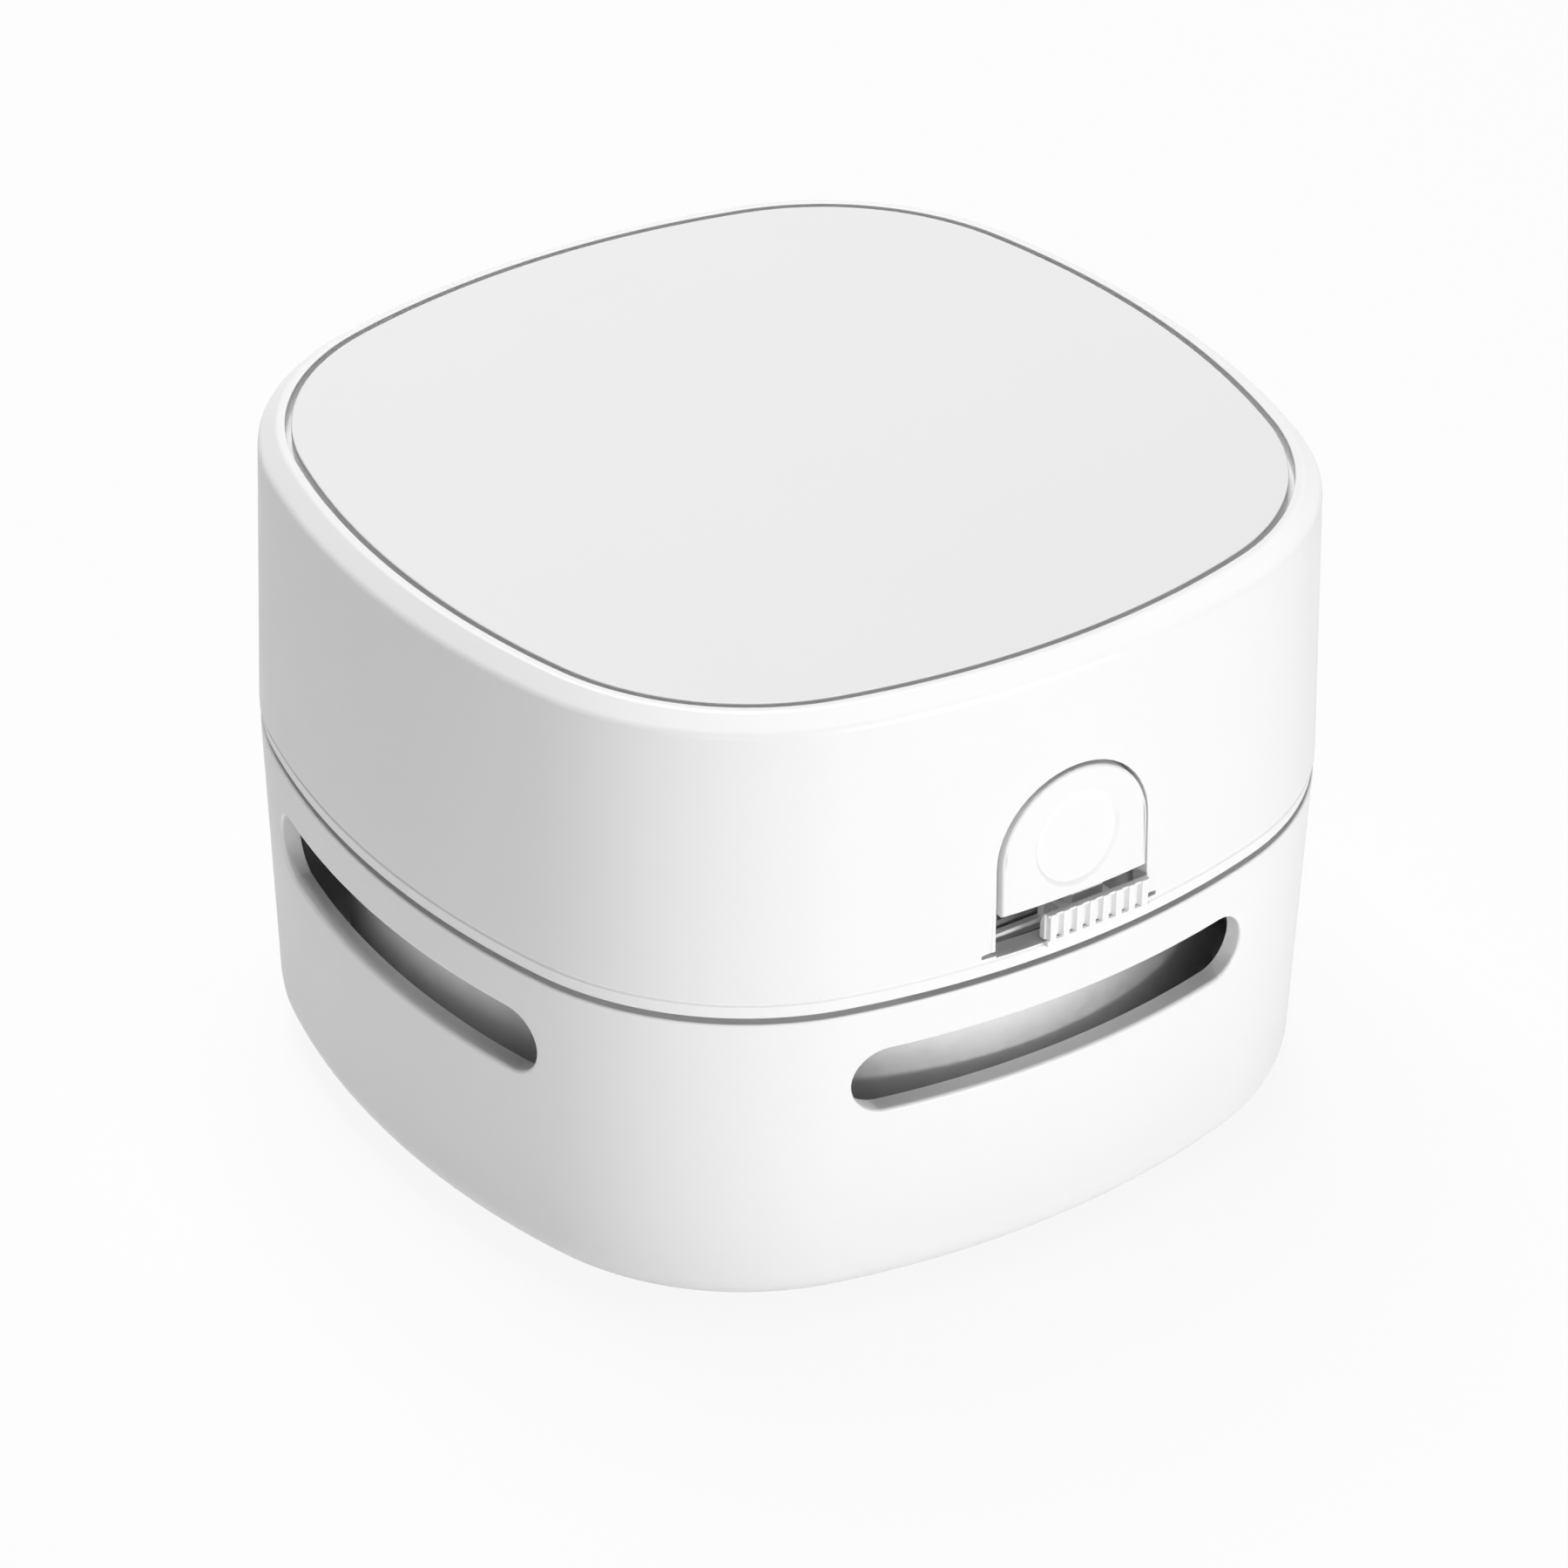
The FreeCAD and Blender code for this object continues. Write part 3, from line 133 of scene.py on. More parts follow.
class HeadSizes(bpy.types.PropertyGroup):
    """The motor head's housing and its cover."""
    wall: length("Wall", 1.9, "Wall of the head")
    crease: length("Crease height", 33.2, "Height of the faint crease above the parting line")
    crease_inset: length("Crease inset", 0.25, "How far the skirt below the crease leans in")
    crease_depth: length("Crease depth", 0.14, "Depth of the crease itself")
    crease_reach: length("Crease reach", 0.18, "How far the crease runs out above and below")
    rim_width: length("Rim width", 1.6, "Width of the sloping rim")
    rim_drop: length("Rim drop", 1.4, "Height of the sloping rim")
    cover_half: length("Cover half-width", 38.5, "Half-width of the cover panel")
    cover_gap: length("Cover gap", 0.54, "Dark gap round the cover panel")
    cover_thickness: length("Cover thickness", 1.6, "Thickness of the cover panel")
    ledge_half: length("Ledge half-width", 35.9, "Half-width of the opening inside the ledge")
    ledge_thickness: length("Ledge thickness", 1.3, "Thickness of the ledge under the cover")
    boss_reach: length("Boss reach", 28.6, "Place of the bracket's screw bosses along X and Y")
    boss_foot: length("Boss foot", 43.8, "Lower end of the screw bosses")
    opening_round: length("Opening round", 0.16, "Rounding of the arch's and the socket hole's edge")


class BoxSizes(bpy.types.PropertyGroup):
    """The dust box shell with its exhaust slots."""
    wall: length("Wall", 1.8, "Wall of the dust box")
    floor: length("Floor", 2.0, "Thickness of the floor")
    setback: length("Setback", 0.1, "How much smaller the box is than the head")
    base_round: length("Base round", 3.9, "Radius of the bottom edge")
    slot_half: length("Slot half-length", 20.1, "Half the length of an exhaust slot")
    slot_height: length("Slot height", 6.2, "Height of an exhaust slot")
    slot_centre: length("Slot centre", 23.8, "Height of the slots' centre line")
    slot_round: length("Slot edge round", 0.38, "Rounding of the slots' outer edge")
    lip_inset: length("Lip inset", 2.2, "How far inside the head's face the lip stands")
    lip_thickness: length("Lip thickness", 1.2, "Thickness of the lip")
    lip_foot: length("Lip foot", 28.6, "Height where the lip leaves the wall")
    pad_reach: length("Pad reach", 24.7, "Place of the pads and base screws along X and Y")
    pad_radius: length("Pad radius", 4.0, "Radius of a glide pad")
    mouth_flange: length("Mouth flange", 2.3, "How far the mouth's flange reaches past its body")
    brush_radius: length("Brush radius", 23.0, "Radius of the ring of bristles")


class LatchSizes(bpy.types.PropertyGroup):
    """The arch button and the slide switch in the foot of the same arch."""
    arch_half: length("Arch half-width", 7.7, "Half-width of the arch opening")
    arch_spring: length("Arch spring", 41.75, "Height where the arch turns round")
    arch_foot: length("Arch foot", 33.4, "Lower end of the opening")
    button_gap: length("Button gap", 0.35, "Gap between the button and the arch")
    button_lift: length("Button lift", 0.1, "How much narrower the gap is over the button")
    button_foot: length("Button foot", 37.25, "Lower edge of the button")
    button_proud: length("Button proud", 0.3, "How far the button stands out of the wall")
    button_round: length("Button round", 0.24, "Rounding of the button's outer edge")
    dish_radius: length("Dish radius", 4.1, "Radius of the shallow finger dish")
    dish_depth: length("Dish depth", 0.25, "Depth of the finger dish")
    dish_slope: amount("Dish slope", 1.5, "Run over rise of the dish's rim")
    dish_height: length("Dish height", 42.75, "Height of the dish's middle")
    flange_foot: length("Flange foot", 37.6, "Lower edge of the button's hidden flange")
    ear_top: length("Ear top", 41.9, "Top of the flange's ears and of the legs")
    leg_spread: length("Leg spread", 10.2, "How far each hooked leg stands from the middle")
    knob_middle: length("Knob middle", 2.25, "Middle of the knob, to the right of the arch's")
    knob_low: length("Knob foot", 33.6, "Lower edge of the knob's plate and ribs")
    knob_high: length("Knob top", 36.1, "Upper edge of the knob's plate and ribs")
    knob_hem: length("Knob hem", 33.05, "Lower edge of the hem that hangs over the sill")
    groove_pitch: length("Groove pitch", 1.345, "Pitch of the knob's grooves")
    groove_width: length("Groove width", 0.72, "Width of the knob's grooves")
    groove_depth: length("Groove depth", 0.5, "Depth of the knob's grooves")
    grooves: number("Grooves", 7, "Grooves in the knob")


class Finishes(bpy.types.PropertyGroup):
    """Colours of the plastics, metals and soft pieces."""
    shell: colour("Shell white", (0.86, 0.86, 0.86), "Satin white of the housing and dust box")
    cover: colour("Cover white", (0.776, 0.776, 0.78), "Slightly greyer matt white of the cover")
    cup: colour("Cup grey", (0.77, 0.77, 0.775), "Metallised grey of the dust cup")
    grey: colour("Part grey", (0.42, 0.43, 0.44), "Satin grey of the inner mouldings")
    dark: colour("Part black", (0.035, 0.035, 0.037), "Satin black of the bracket and fan cover")
    rubber: colour("Rubber grey", (0.30, 0.30, 0.305), "Matt grey of the glide pads")


class StudioSettings(bpy.types.PropertyGroup):
    """Camera and light."""
    azimuth: angle("Azimuth", -125.076, "Direction of the camera round the object")
    elevation: angle("Elevation", 32.027, "Height of the camera above the horizon")
    distance: length("Distance", 644.19, "Distance of the camera from its target")
    target: length("Target height", 31.6, "Height of the camera's target")
    lift: angle("Lift", -0.449, "How far the camera looks up from its target")
    roll: angle("Roll", 0.652, "Turn of the camera about its own axis")
    lens: amount("Lens", 170.8, "Focal length in millimetres")
    left_power: amount("Left power", 2.6, "Power of the low left strip")
    front_power: amount("Front power", 5.5, "Power of the low front strip")
    back_power: amount("Back power", 6.0, "Power of the high lamp behind")
    top_power: amount("Top power", 3.95, "Power of the lamp overhead")


GROUPS = {
    "outline": OutlineSizes, "head": HeadSizes, "box": BoxSizes, "latch": LatchSizes,
    "finish": Finishes, "studio": StudioSettings,
}


def sizes(group):
    return getattr(bpy.context.scene, "cleaner_" + group)


# ---- places on the outline --------------------------------------------------
def side_centre():
    """How far from the middle a side's arc is centred; negative is across the middle."""
    o = sizes("outline")
    return o.half - o.side_radius


def corner_centre():
    """The X and Y of a corner arc's centre, where it is tangent to both sides."""
    o = sizes("outline")
    s = side_centre()
    spread = 4 * s ** 2 - 8 * (s ** 2 - (o.side_radius - o.corner_radius) ** 2)
    return (2 * s + math.sqrt(spread)) / 4


def tangent():
    """Angle from a side's middle to where its corner begins."""
    c = corner_centre()
    return math.atan2(c, c - side_centre())


def level(point):
    """The half-width of the outline that runs through a point, a parallel of the outer one."""
    x, y = sorted((abs(point.x), abs(point.y)))
    c = corner_centre()
    if math.atan2(x, y - side_centre()) < tangent():
        return math.hypot(x, y - side_centre()) + side_centre()
    return math.hypot(x - c, y - c) - sizes("outline").corner_radius + sizes("outline").half


def head_half(z):
    o = sizes("outline")
    return o.half - math.tan(o.head_draft) * (z - o.parting)


def box_half(z):
    o = sizes("outline")
    return o.half - sizes("box").setback - math.tan(o.box_draft) * (o.parting - z)


def four_places(reach):
    """The places at plus and minus a reach along X and Y."""
    return [(x, y) for x in (-reach, reach) for y in (-reach, reach)]


def rounded(corners, steps=5):
    """Points through (a, b, radius) corners, each corner turned into an arc of its radius."""
    points = []
    count = len(corners)
    for i, (a, b, radius) in enumerate(corners):
        here = Vector((a, b))
        if not radius:
            points.append(here)
            continue
        back = (Vector(corners[i - 1][:2]) - here).normalized()
        on = (Vector(corners[(i + 1) % count][:2]) - here).normalized()
        half = back.angle(on) / 2
        reach = radius / math.tan(half)
        centre = here + (back + on).normalized() * (radius / math.sin(half))
        start, end = here + back * reach - centre, here + on * reach - centre
        turn = start.angle_signed(end)
        for k in range(steps + 1):
            points.append(centre + Matrix.Rotation(-turn * k / steps, 2) @ start)
    return points


def arch_points(half, low, spring, steps=24):
    """An arch in the XZ plane, from its lower right corner round to its lower left."""
    turns = [math.pi * k / steps for k in range(steps + 1)]
    curve = [(half * math.cos(a), spring + half * math.sin(a)) for a in turns]
    return [(half, low), *curve, (-half, low)]


def stadium_points(half, height, z, steps=12):
    """A slot with full round ends in the XZ plane."""
    r = height / 2
    points = []
    for side, start in ((1, -math.pi / 2), (-1, math.pi / 2)):
        for k in range(steps + 1):
            a = start + math.pi * k / steps
            points.append((side * (half - r) + r * math.cos(a), z + r * math.sin(a)))
    return points


# ---- modelling helpers ------------------------------------------------------
def deselect():
    if bpy.context.object and bpy.context.object.mode != "OBJECT":
        bpy.ops.object.mode_set(mode="OBJECT")
    bpy.ops.object.select_all(action="DESELECT")


def activate(piece):
    deselect()
    piece.select_set(True)
    bpy.context.view_layer.objects.active = piece


def edit(piece):
    activate(piece)
    bpy.ops.object.mode_set(mode="EDIT")
    bpy.ops.mesh.select_mode(type="EDGE")


def object_mode():
    bpy.ops.object.mode_set(mode="OBJECT")


def named(name):
    """Names the active object and its mesh."""
    piece = bpy.context.object
    piece.name = piece.data.name = name
    return piece


def placed(piece, place=(0, 0, 0), turn=(0, 0, 0)):
    """Turns a piece about the origin and moves it, in its mesh."""
    activate(piece)
    piece.location, piece.rotation_euler = place, turn
    bpy.ops.object.transform_apply(location=True, rotation=True, scale=True)
    return piece


def copied(piece, place=(0, 0, 0), turn=(0, 0, 0)):
    """A copy with its own mesh, turned and moved."""
    activate(piece)
    bpy.ops.object.duplicate(linked=False)
    return placed(bpy.context.object, place, turn)


def pick(piece, test):
    """Enters edit mode with only the edges selected that pass the test."""
    edit(piece)
    mesh = bmesh.from_edit_mesh(piece.data)
    mesh.normal_update()
    bpy.ops.mesh.select_all(action="DESELECT")
    for edge in mesh.edges:
        edge.select_set(bool(test(edge)))
    bmesh.update_edit_mesh(piece.data)


def middle_of(edge):
    return (edge.verts[0].co + edge.verts[1].co) / 2


def wire(name, points, closed=True):
    """A chain of edges, extruded point by point from one vertex. It is left in edit mode, selected."""
    points = [Vector(p) for p in points]
    deselect()
    bpy.ops.mesh.primitive_plane_add(size=MM, location=(0, 0, 0), enter_editmode=True)
    piece = named(name)
    bpy.ops.mesh.select_mode(type="VERT")
    bpy.ops.mesh.merge(type="CENTER")
    bpy.ops.transform.translate(value=points[0])
    chain = points + points[:1] if closed else points
    for start, end in zip(chain, chain[1:]):
        bpy.ops.mesh.extrude_vertices_move(TRANSFORM_OT_translate={"value": end - start})
    bpy.ops.mesh.select_all(action="SELECT")
    bpy.ops.mesh.remove_doubles(threshold=1e-7)
    return piece


def weld(flip=True):
    """Merges doubles and turns the faces outwards, in edit mode."""
    bpy.ops.mesh.select_all(action="SELECT")
    bpy.ops.mesh.remove_doubles(threshold=1e-6)
    if flip:
        bpy.ops.mesh.normals_make_consistent(inside=False)


def radial(centre, reach, turn, z):
    return Vector((centre.x + reach * math.cos(turn), centre.y + reach * math.sin(turn), z))


def sweep(name, section, closed=True):
    """A (half-width, height) section carried round the whole outline. It is left in edit mode."""
    o = sizes("outline")
    s, c, t = side_centre(), corner_centre(), tangent()
    start = [radial(Vector((s, 0)), half - s, -t, z) for half, z in section]
    piece = wire(name, start, closed)
    arcs = (((s, 0), 2 * t, o.side_steps), ((c, c), math.pi / 2 - 2 * t, o.corner_steps))
    for turn in QUARTERS:
        for place, reach, steps in arcs:
            centre = Matrix.Rotation(turn, 2) @ Vector(place)
            bpy.ops.mesh.spin(steps=steps, angle=reach, center=centre.to_3d(), axis=SPIN_AXIS)
    weld()
    return piece


def close_middle(piece, half, heights):
    """Closes the open loops that a sweep leaves at a half-width, one at each height."""
    for z in heights:
        pick(piece, lambda edge: all(
            abs(v.co.z - z) < 0.001 * MM and abs(level(v.co) - half) < 0.01 * MM for v in edge.verts
        ))
        bpy.ops.mesh.edge_face_add()
        weld()
    object_mode()


def sector(name, section, reach, steps):
    """A section carried along the middle of the front only, over an angle each way, with closed ends."""
    s = side_centre()
    centre = Matrix.Rotation(FRONT, 2) @ Vector((s, 0))
    piece = wire(name, [radial(centre, half - s, FRONT - reach, z) for half, z in section])
    bpy.ops.mesh.edge_face_add()
    bpy.ops.mesh.spin(steps=steps, angle=2 * reach, center=centre.to_3d(), axis=SPIN_AXIS)
    weld()
    object_mode()
    return piece


def revolve(name, section, steps=128, closed=True):
    """A (radius, height) section turned about the Z axis."""
    piece = wire(name, [(r, 0, z) for r, z in section], closed)
    bpy.ops.mesh.spin(steps=steps, angle=2 * math.pi, center=(0, 0, 0), axis=SPIN_AXIS)
    weld()
    object_mode()
    return piece


def extruded(name, points, travel):
    """A face through the points, extruded along a vector."""
    piece = wire(name, points)
    bpy.ops.mesh.edge_face_add()
    bpy.ops.mesh.extrude_region_move(TRANSFORM_OT_translate={"value": travel})
    weld()
    object_mode()
    return piece


def prism(name, points, low, high, turn=0.0):
    """A face in the XZ plane extruded between two Y values, turned about the Z axis."""
    piece = extruded(name, [(x, low, z) for x, z in points], (0, high - low, 0))
    return placed(piece, turn=(0, 0, turn))


def bar(name, low, high, soften=0.0):
    """A block between two corners, its edges softened."""
    low, high = Vector(low), Vector(high)
    deselect()
    bpy.ops.mesh.primitive_cube_add(size=1.0, location=(low + high) / 2, scale=high - low)
    return primitive(name, soften)


def post(name, radius, low, high, place=(0.0, 0.0), sides=48):
    """An upright round post."""
    deselect()
    bpy.ops.mesh.primitive_cone_add(
        vertices=sides, radius1=radius, radius2=radius, depth=high - low, location=(*place, (low + high) / 2)
    )
    return primitive(name)


def primitive(name, soften=0.0):
    """Names the new primitive, applies its place and softens its edges."""
    piece = named(name)
    bpy.ops.object.transform_apply(location=True, rotation=True, scale=True)
    if soften:
        soften_edges(piece, soften)
    return piece


def soften_edges(piece, width, segments=3, test=None, degrees=30):
    """Bevels the sharp edges of a piece that pass the test."""
    limit = math.radians(degrees)

    def sharp(edge):
        return len(edge.link_faces) == 2 and edge.calc_face_angle() > limit and (not test or test(edge))

    pick(piece, sharp)
    bpy.ops.mesh.bevel(offset=width, segments=segments, profile=0.5, affect="EDGES", clamp_overlap=False)
    object_mode()
    return piece


def combine(piece, tools, how="DIFFERENCE"):
    """Cuts, adds or keeps what is common with each tool, and deletes the tools."""
    for tool in tools:
        activate(piece)
        bpy.ops.object.modifier_add(type="BOOLEAN")
        modifier = piece.modifiers[-1]
        modifier.operation = how
        modifier.solver = "EXACT"
        modifier.object = tool
        bpy.ops.object.modifier_apply(modifier=modifier.name)
        bpy.data.objects.remove(tool)
    return piece


def join(name, pieces):
    deselect()
    for piece in pieces:
        piece.select_set(True)
    bpy.context.view_layer.objects.active = pieces[0]
    bpy.ops.object.join()
    return named(name)


def smooth(piece, degrees):
    activate(piece)
    bpy.ops.object.shade_smooth_by_angle(angle=math.radians(degrees))
    bpy.ops.object.modifier_add(type="WEIGHTED_NORMAL")
    piece.modifiers[-1].keep_sharp = True
    bpy.ops.object.modifier_apply(modifier=piece.modifiers[-1].name)


def settle(piece, body, nodes, slot, degrees=35):
    """Gives a finished piece its shading, material and body, and hides the nodes it stands for."""
    smooth(piece, degrees)
    piece.data.materials.clear()
    piece.data.materials.append(MATERIALS[slot])
    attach(piece, body)
    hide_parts(*nodes)


def refine(node, body, slot, soften):
    """Stands a clean copy of a CAD node in its place: welded, its flat faces whole, its edges softened."""
    activate(frame["nodes"][node])
    bpy.ops.object.duplicate(linked=False)
    piece = named(node + "_finished")
    piece.parent = None
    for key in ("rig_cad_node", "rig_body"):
        if key in piece:
            del piece[key]
    edit(piece)
    bpy.ops.mesh.customdata_custom_splitnormals_clear()
    weld(flip=False)
    bpy.ops.mesh.dissolve_limited(angle_limit=math.radians(0.4))
    object_mode()
    if soften:
        soften_edges(piece, soften, segments=2, degrees=50)
    settle(piece, body, [node], slot, 30)


# ---- materials --------------------------------------------------------------
class Nodes:
    """A short way to write the node tree of a material or a world."""

    def __init__(self, owner):
        owner.use_nodes = True
        self.tree = owner.node_tree

    def feed(self, socket, value):
        """Links a socket to another, or sets its plain value."""
        if isinstance(value, bpy.types.NodeSocket):
            self.tree.links.new(value, socket)
        else:
            socket.default_value = value

    def set_on(self, node, inputs):
        for key, value in inputs.items():
            self.feed(node.inputs[key.replace("_", " ")], value)

    def add(self, kind, **inputs):
        node = self.tree.nodes.new(kind)
        self.set_on(node, inputs)
        return node

    def maths(self, how, a, b=0.0):
        node = self.add("ShaderNodeMath")
        node.operation = how
        self.feed(node.inputs[0], a)
        self.feed(node.inputs[1], b)
        return node.outputs[0]

    def seen(self):
        """1 where a camera, glossy or transmission ray arrives, and 0 for other light."""
        path = self.add("ShaderNodeLightPath").outputs
        either = self.maths("MAXIMUM", path["Is Camera Ray"], path["Is Glossy Ray"])
        return self.maths("MAXIMUM", either, path["Is Transmission Ray"])


class Shader(Nodes):
    """A surface material that reads Object coordinates."""

    def __init__(self, name):
        self.material = bpy.data.materials.new(name)
        super().__init__(self.material)
        self.surface = self.tree.nodes["Principled BSDF"]
        self.place = self.add("ShaderNodeTexCoord").outputs["Object"]

    def set(self, **values):
        self.set_on(self.surface, values)

    def noise(self, size, detail=3.0, place=None, distortion=0.0):
        """Noise whose features have a given size in metres, from 0 to 1."""
        return self.add(
            "ShaderNodeTexNoise", Vector=place or self.place, Scale=1.0 / size, Detail=detail,
            Distortion=distortion,
        ).outputs["Fac"]

    def stretched(self, scale):
        return self.add("ShaderNodeMapping", Vector=self.place, Scale=scale).outputs["Vector"]

    def along(self, axis):
        return self.add("ShaderNodeSeparateXYZ", Vector=self.place).outputs[axis]

    def waves(self, axis, pitch):
        """Ridges across an axis, two for each pitch, from 0 to 1."""
        turns = self.maths("MULTIPLY", self.along(axis), 2 * math.pi / pitch)
        return self.maths("ABSOLUTE", self.maths("SINE", turns))

    def span(self, value, low, high, start=0.0, end=1.0):
        """A value between start and end, carried over to between low and high."""
        ends = {"From_Min": start, "From_Max": end, "To_Min": low, "To_Max": high}
        return self.add("ShaderNodeMapRange", Value=value, **ends).outputs["Result"]

    def blend(self, factor, one, other):
        """A mix of two colours, each a value or a socket."""
        node = self.add("ShaderNodeMix")
        node.data_type = "RGBA"
        self.feed(node.inputs[0], factor)
        for socket, value in ((node.inputs[6], one), (node.inputs[7], other)):
            self.feed(socket, value if isinstance(value, bpy.types.NodeSocket) else (*value, 1.0))
        return node.outputs[2]

    def drift(self, factor, base, amount):
        """A colour that turns a little darker."""
        return self.blend(factor, tuple(base), tuple(c * (1 - amount) for c in base))

    def bump(self, height, distance, strength):
        node = self.add("ShaderNodeBump", Height=height, Strength=strength, Distance=distance)
        self.set(Normal=node.outputs["Normal"])


def moulded(name, base, roughness=0.42, grain=0.12, depth=0.004, drift=0.03):
    """Injection-moulded plastic: spark-eroded grain, slow drift in colour and gloss."""
    s = Shader(name)
    s.set(Base_Color=s.drift(s.noise(18 * MM, 2.0), base, drift), IOR=1.5)
    s.set(Roughness=s.span(s.noise(7 * MM), roughness - 0.04, roughness + 0.04, 0.3, 0.7))
    s.bump(s.noise(grain * MM, 2.0), depth * MM, 0.5)
    return s.material


def metallised(name, base):
    """Satin metallised plastic of the cup, with faint flow lines and fine wipe marks."""
    s = Shader(name)
    flow = s.noise(26 * MM, 1.0)
    wipe = s.noise(MM / 0.9, 4.0, distortion=1.2)
    s.set(Base_Color=s.drift(flow, base, 0.12), Metallic=1.0)
    s.set(Roughness=s.span(wipe, 0.44, 0.50, 0.3, 0.7))
    s.bump(flow, 0.05 * MM, 0.15)
    return s.material


def rubbery(name, base):
    """Matt rubber with a dusty bloom and fine pores."""
    s = Shader(name)
    bloom = s.noise(3.5 * MM, 4.0)
    s.set(Base_Color=s.drift(bloom, base, 0.18), Roughness=s.span(bloom, 0.75, 0.92), IOR=1.45)
    s.set(Sheen_Weight=0.15, Sheen_Roughness=0.5)
    s.bump(s.noise(0.25 * MM), 0.02 * MM, 0.6)
    return s.material


def plated(name, base, roughness=0.3, brushed=0.0):
    """Plated steel: slightly cloudy, with fine rolling marks along one direction."""
    s = Shader(name)
    marks = s.noise(1.2 * MM, 3.0, s.stretched((1.0, 1.0, 14.0)))
    s.set(Base_Color=s.drift(s.noise(2.5 * MM), base, 0.12), Metallic=1.0)
    s.set(Roughness=s.span(marks, roughness - 0.07, roughness + 0.1, 0.3, 0.7))
    s.bump(marks, 0.01 * MM, 0.3 + brushed)
    return s.material


def woven(name, base):
    """Fine filter mesh: two crossed sets of threads with open squares between."""
    s = Shader(name)
    pitch = 0.32 * MM
    threads = s.maths("MAXIMUM", s.waves("X", pitch), s.waves("Y", pitch))
    open_square = s.span(threads, 0.0, 1.0, 0.55, 0.9)
    s.set(Base_Color=s.blend(open_square, tuple(c * 0.35 for c in base), base))
    s.set(Roughness=s.span(threads, 0.85, 0.6), Sheen_Weight=0.3, Sheen_Roughness=0.4)
    s.bump(threads, 0.08 * MM, 0.7)
    return s.material


def board(name, base):
    """Green circuit board: solder mask over raised tracks, with a dusting of flux."""
    s = Shader(name)
    tracks = s.add(
        "ShaderNodeTexBrick", Vector=s.place, Scale=420.0, Mortar_Size=0.16, Mortar_Smooth=0.2
    ).outputs["Fac"]
    flux = s.noise(2.0 * MM)
    lit = s.blend(flux, tuple(c * 2.0 for c in base), tuple(c * 1.6 for c in base))
    s.set(Base_Color=s.blend(tracks, base, lit), Roughness=s.span(flux, 0.22, 0.4), IOR=1.55)
    s.bump(tracks, 0.04 * MM, 0.6)
    return s.material


def wound(name):
    """Armature: dark laminations with bright enamelled copper between."""
    s = Shader(name)
    copper, steel = (0.45, 0.16, 0.06), (0.20, 0.19, 0.18)
    layers = s.waves("Z", 0.7 * MM)
    patch = s.span(s.noise(2.2 * MM, 2.0), 0.0, 1.0, 0.45, 0.55)
    s.set(Base_Color=s.blend(patch, copper, steel), Metallic=0.9, Roughness=s.span(layers, 0.25, 0.5))
    s.bump(layers, 0.05 * MM, 0.8)
    return s.material


def sleeve(name):
    """Shrink sleeve of the cell: glossy film with soft wrinkles."""
    s = Shader(name)
    wrinkle = s.noise(3.0 * MM, 2.0, s.stretched((0.25, 1.0, 1.0)))
    s.set(Base_Color=s.blend(wrinkle, (0.03, 0.12, 0.34), (0.02, 0.09, 0.28)), IOR=1.5)
    s.set(Roughness=s.span(wrinkle, 0.18, 0.3), Coat_Weight=0.4, Coat_Roughness=0.1)
    s.bump(wrinkle, 0.12 * MM, 0.3)
    return s.material


def filament(name):
    """Dark nylon of the brush, lighter towards each tip's wear."""
    s = Shader(name)
    wear = s.span(s.along("Z"), 0.0, 1.0, 0.3 * MM, 1.4 * MM)
    streak = s.noise(0.4 * MM, 2.0)
    dark = s.blend(streak, (0.030, 0.030, 0.032), (0.055, 0.055, 0.058))
    s.set(Base_Color=s.blend(wear, (0.10, 0.10, 0.10), dark), Roughness=s.span(streak, 0.35, 0.5), IOR=1.53)
    return s.material


def finish_materials():
    """One material for each slot of the record."""
    f = sizes("finish")
    return {
        "white_shell": moulded("Satin white plastic", f.shell, 0.40, depth=0.003, drift=0.012),
        "cover_white": moulded("Matt white plastic", f.cover, 0.50, grain=0.16, depth=0.005, drift=0.012),
        "smoke_plastic": metallised("Metallised grey plastic", f.cup),
        "grey_plastic": moulded("Satin grey plastic", f.grey),
        "bristle": filament("Nylon filament"),
        "pad_rubber": rubbery("Glide pad rubber", f.rubber),
        "seal_rubber": rubbery("Seal rubber", (0.035, 0.035, 0.037)),
        "screw_steel": plated("Zinc plated screw", (0.56, 0.57, 0.58), 0.28),
        "mesh_fabric": woven("Filter mesh", (0.72, 0.72, 0.70)),
        "spring_steel": plated("Spring steel", (0.60, 0.60, 0.61), 0.2),
        "black_plastic": moulded("Satin black plastic", f.dark, 0.45, drift=0.1),
        # The switch body's grey is set dark so that it also paints the shade of the recess beside the knob:
        # partly the part's own grey, partly painted shade.
        "switch_grey": moulded("Switch grey plastic with painted shade", (0.25, 0.25, 0.255), 0.40, drift=0.06),
        "board_green": board("Solder mask", (0.012, 0.085, 0.035)),
        "can_steel": plated("Motor can steel", (0.55, 0.55, 0.53), 0.33, brushed=0.2),
        "magnet": moulded("Sintered magnet", (0.05, 0.05, 0.052), 0.6, grain=0.3, depth=0.02, drift=0.2),
        "armature": wound("Wound armature"),
        "impeller_plastic": moulded("Impeller plastic", (0.62, 0.64, 0.66), 0.35, drift=0.04),
        "cell_sleeve": sleeve("Cell sleeve"),
        "nickel": plated("Nickel", (0.68, 0.66, 0.60), 0.22),
    }


MATERIALS = {}


class PieceOperator:
    """What the operators share."""
    bl_options = {"REGISTER", "UNDO"}


class CLEANER_OT_finishes(PieceOperator, bpy.types.Operator):
    """Make the materials and give the plain inner nodes theirs"""
    bl_idname = "cleaner.finishes"
    bl_label = "Finishes"

    def execute(self, context):
        MATERIALS.update(finish_materials())
        for part in frame["record"]["subparts"]:
            mesh = frame["nodes"][part["node"]].data
            mesh.materials.clear()
            mesh.materials.append(MATERIALS[part["material_slot"]])
        return {"FINISHED"}


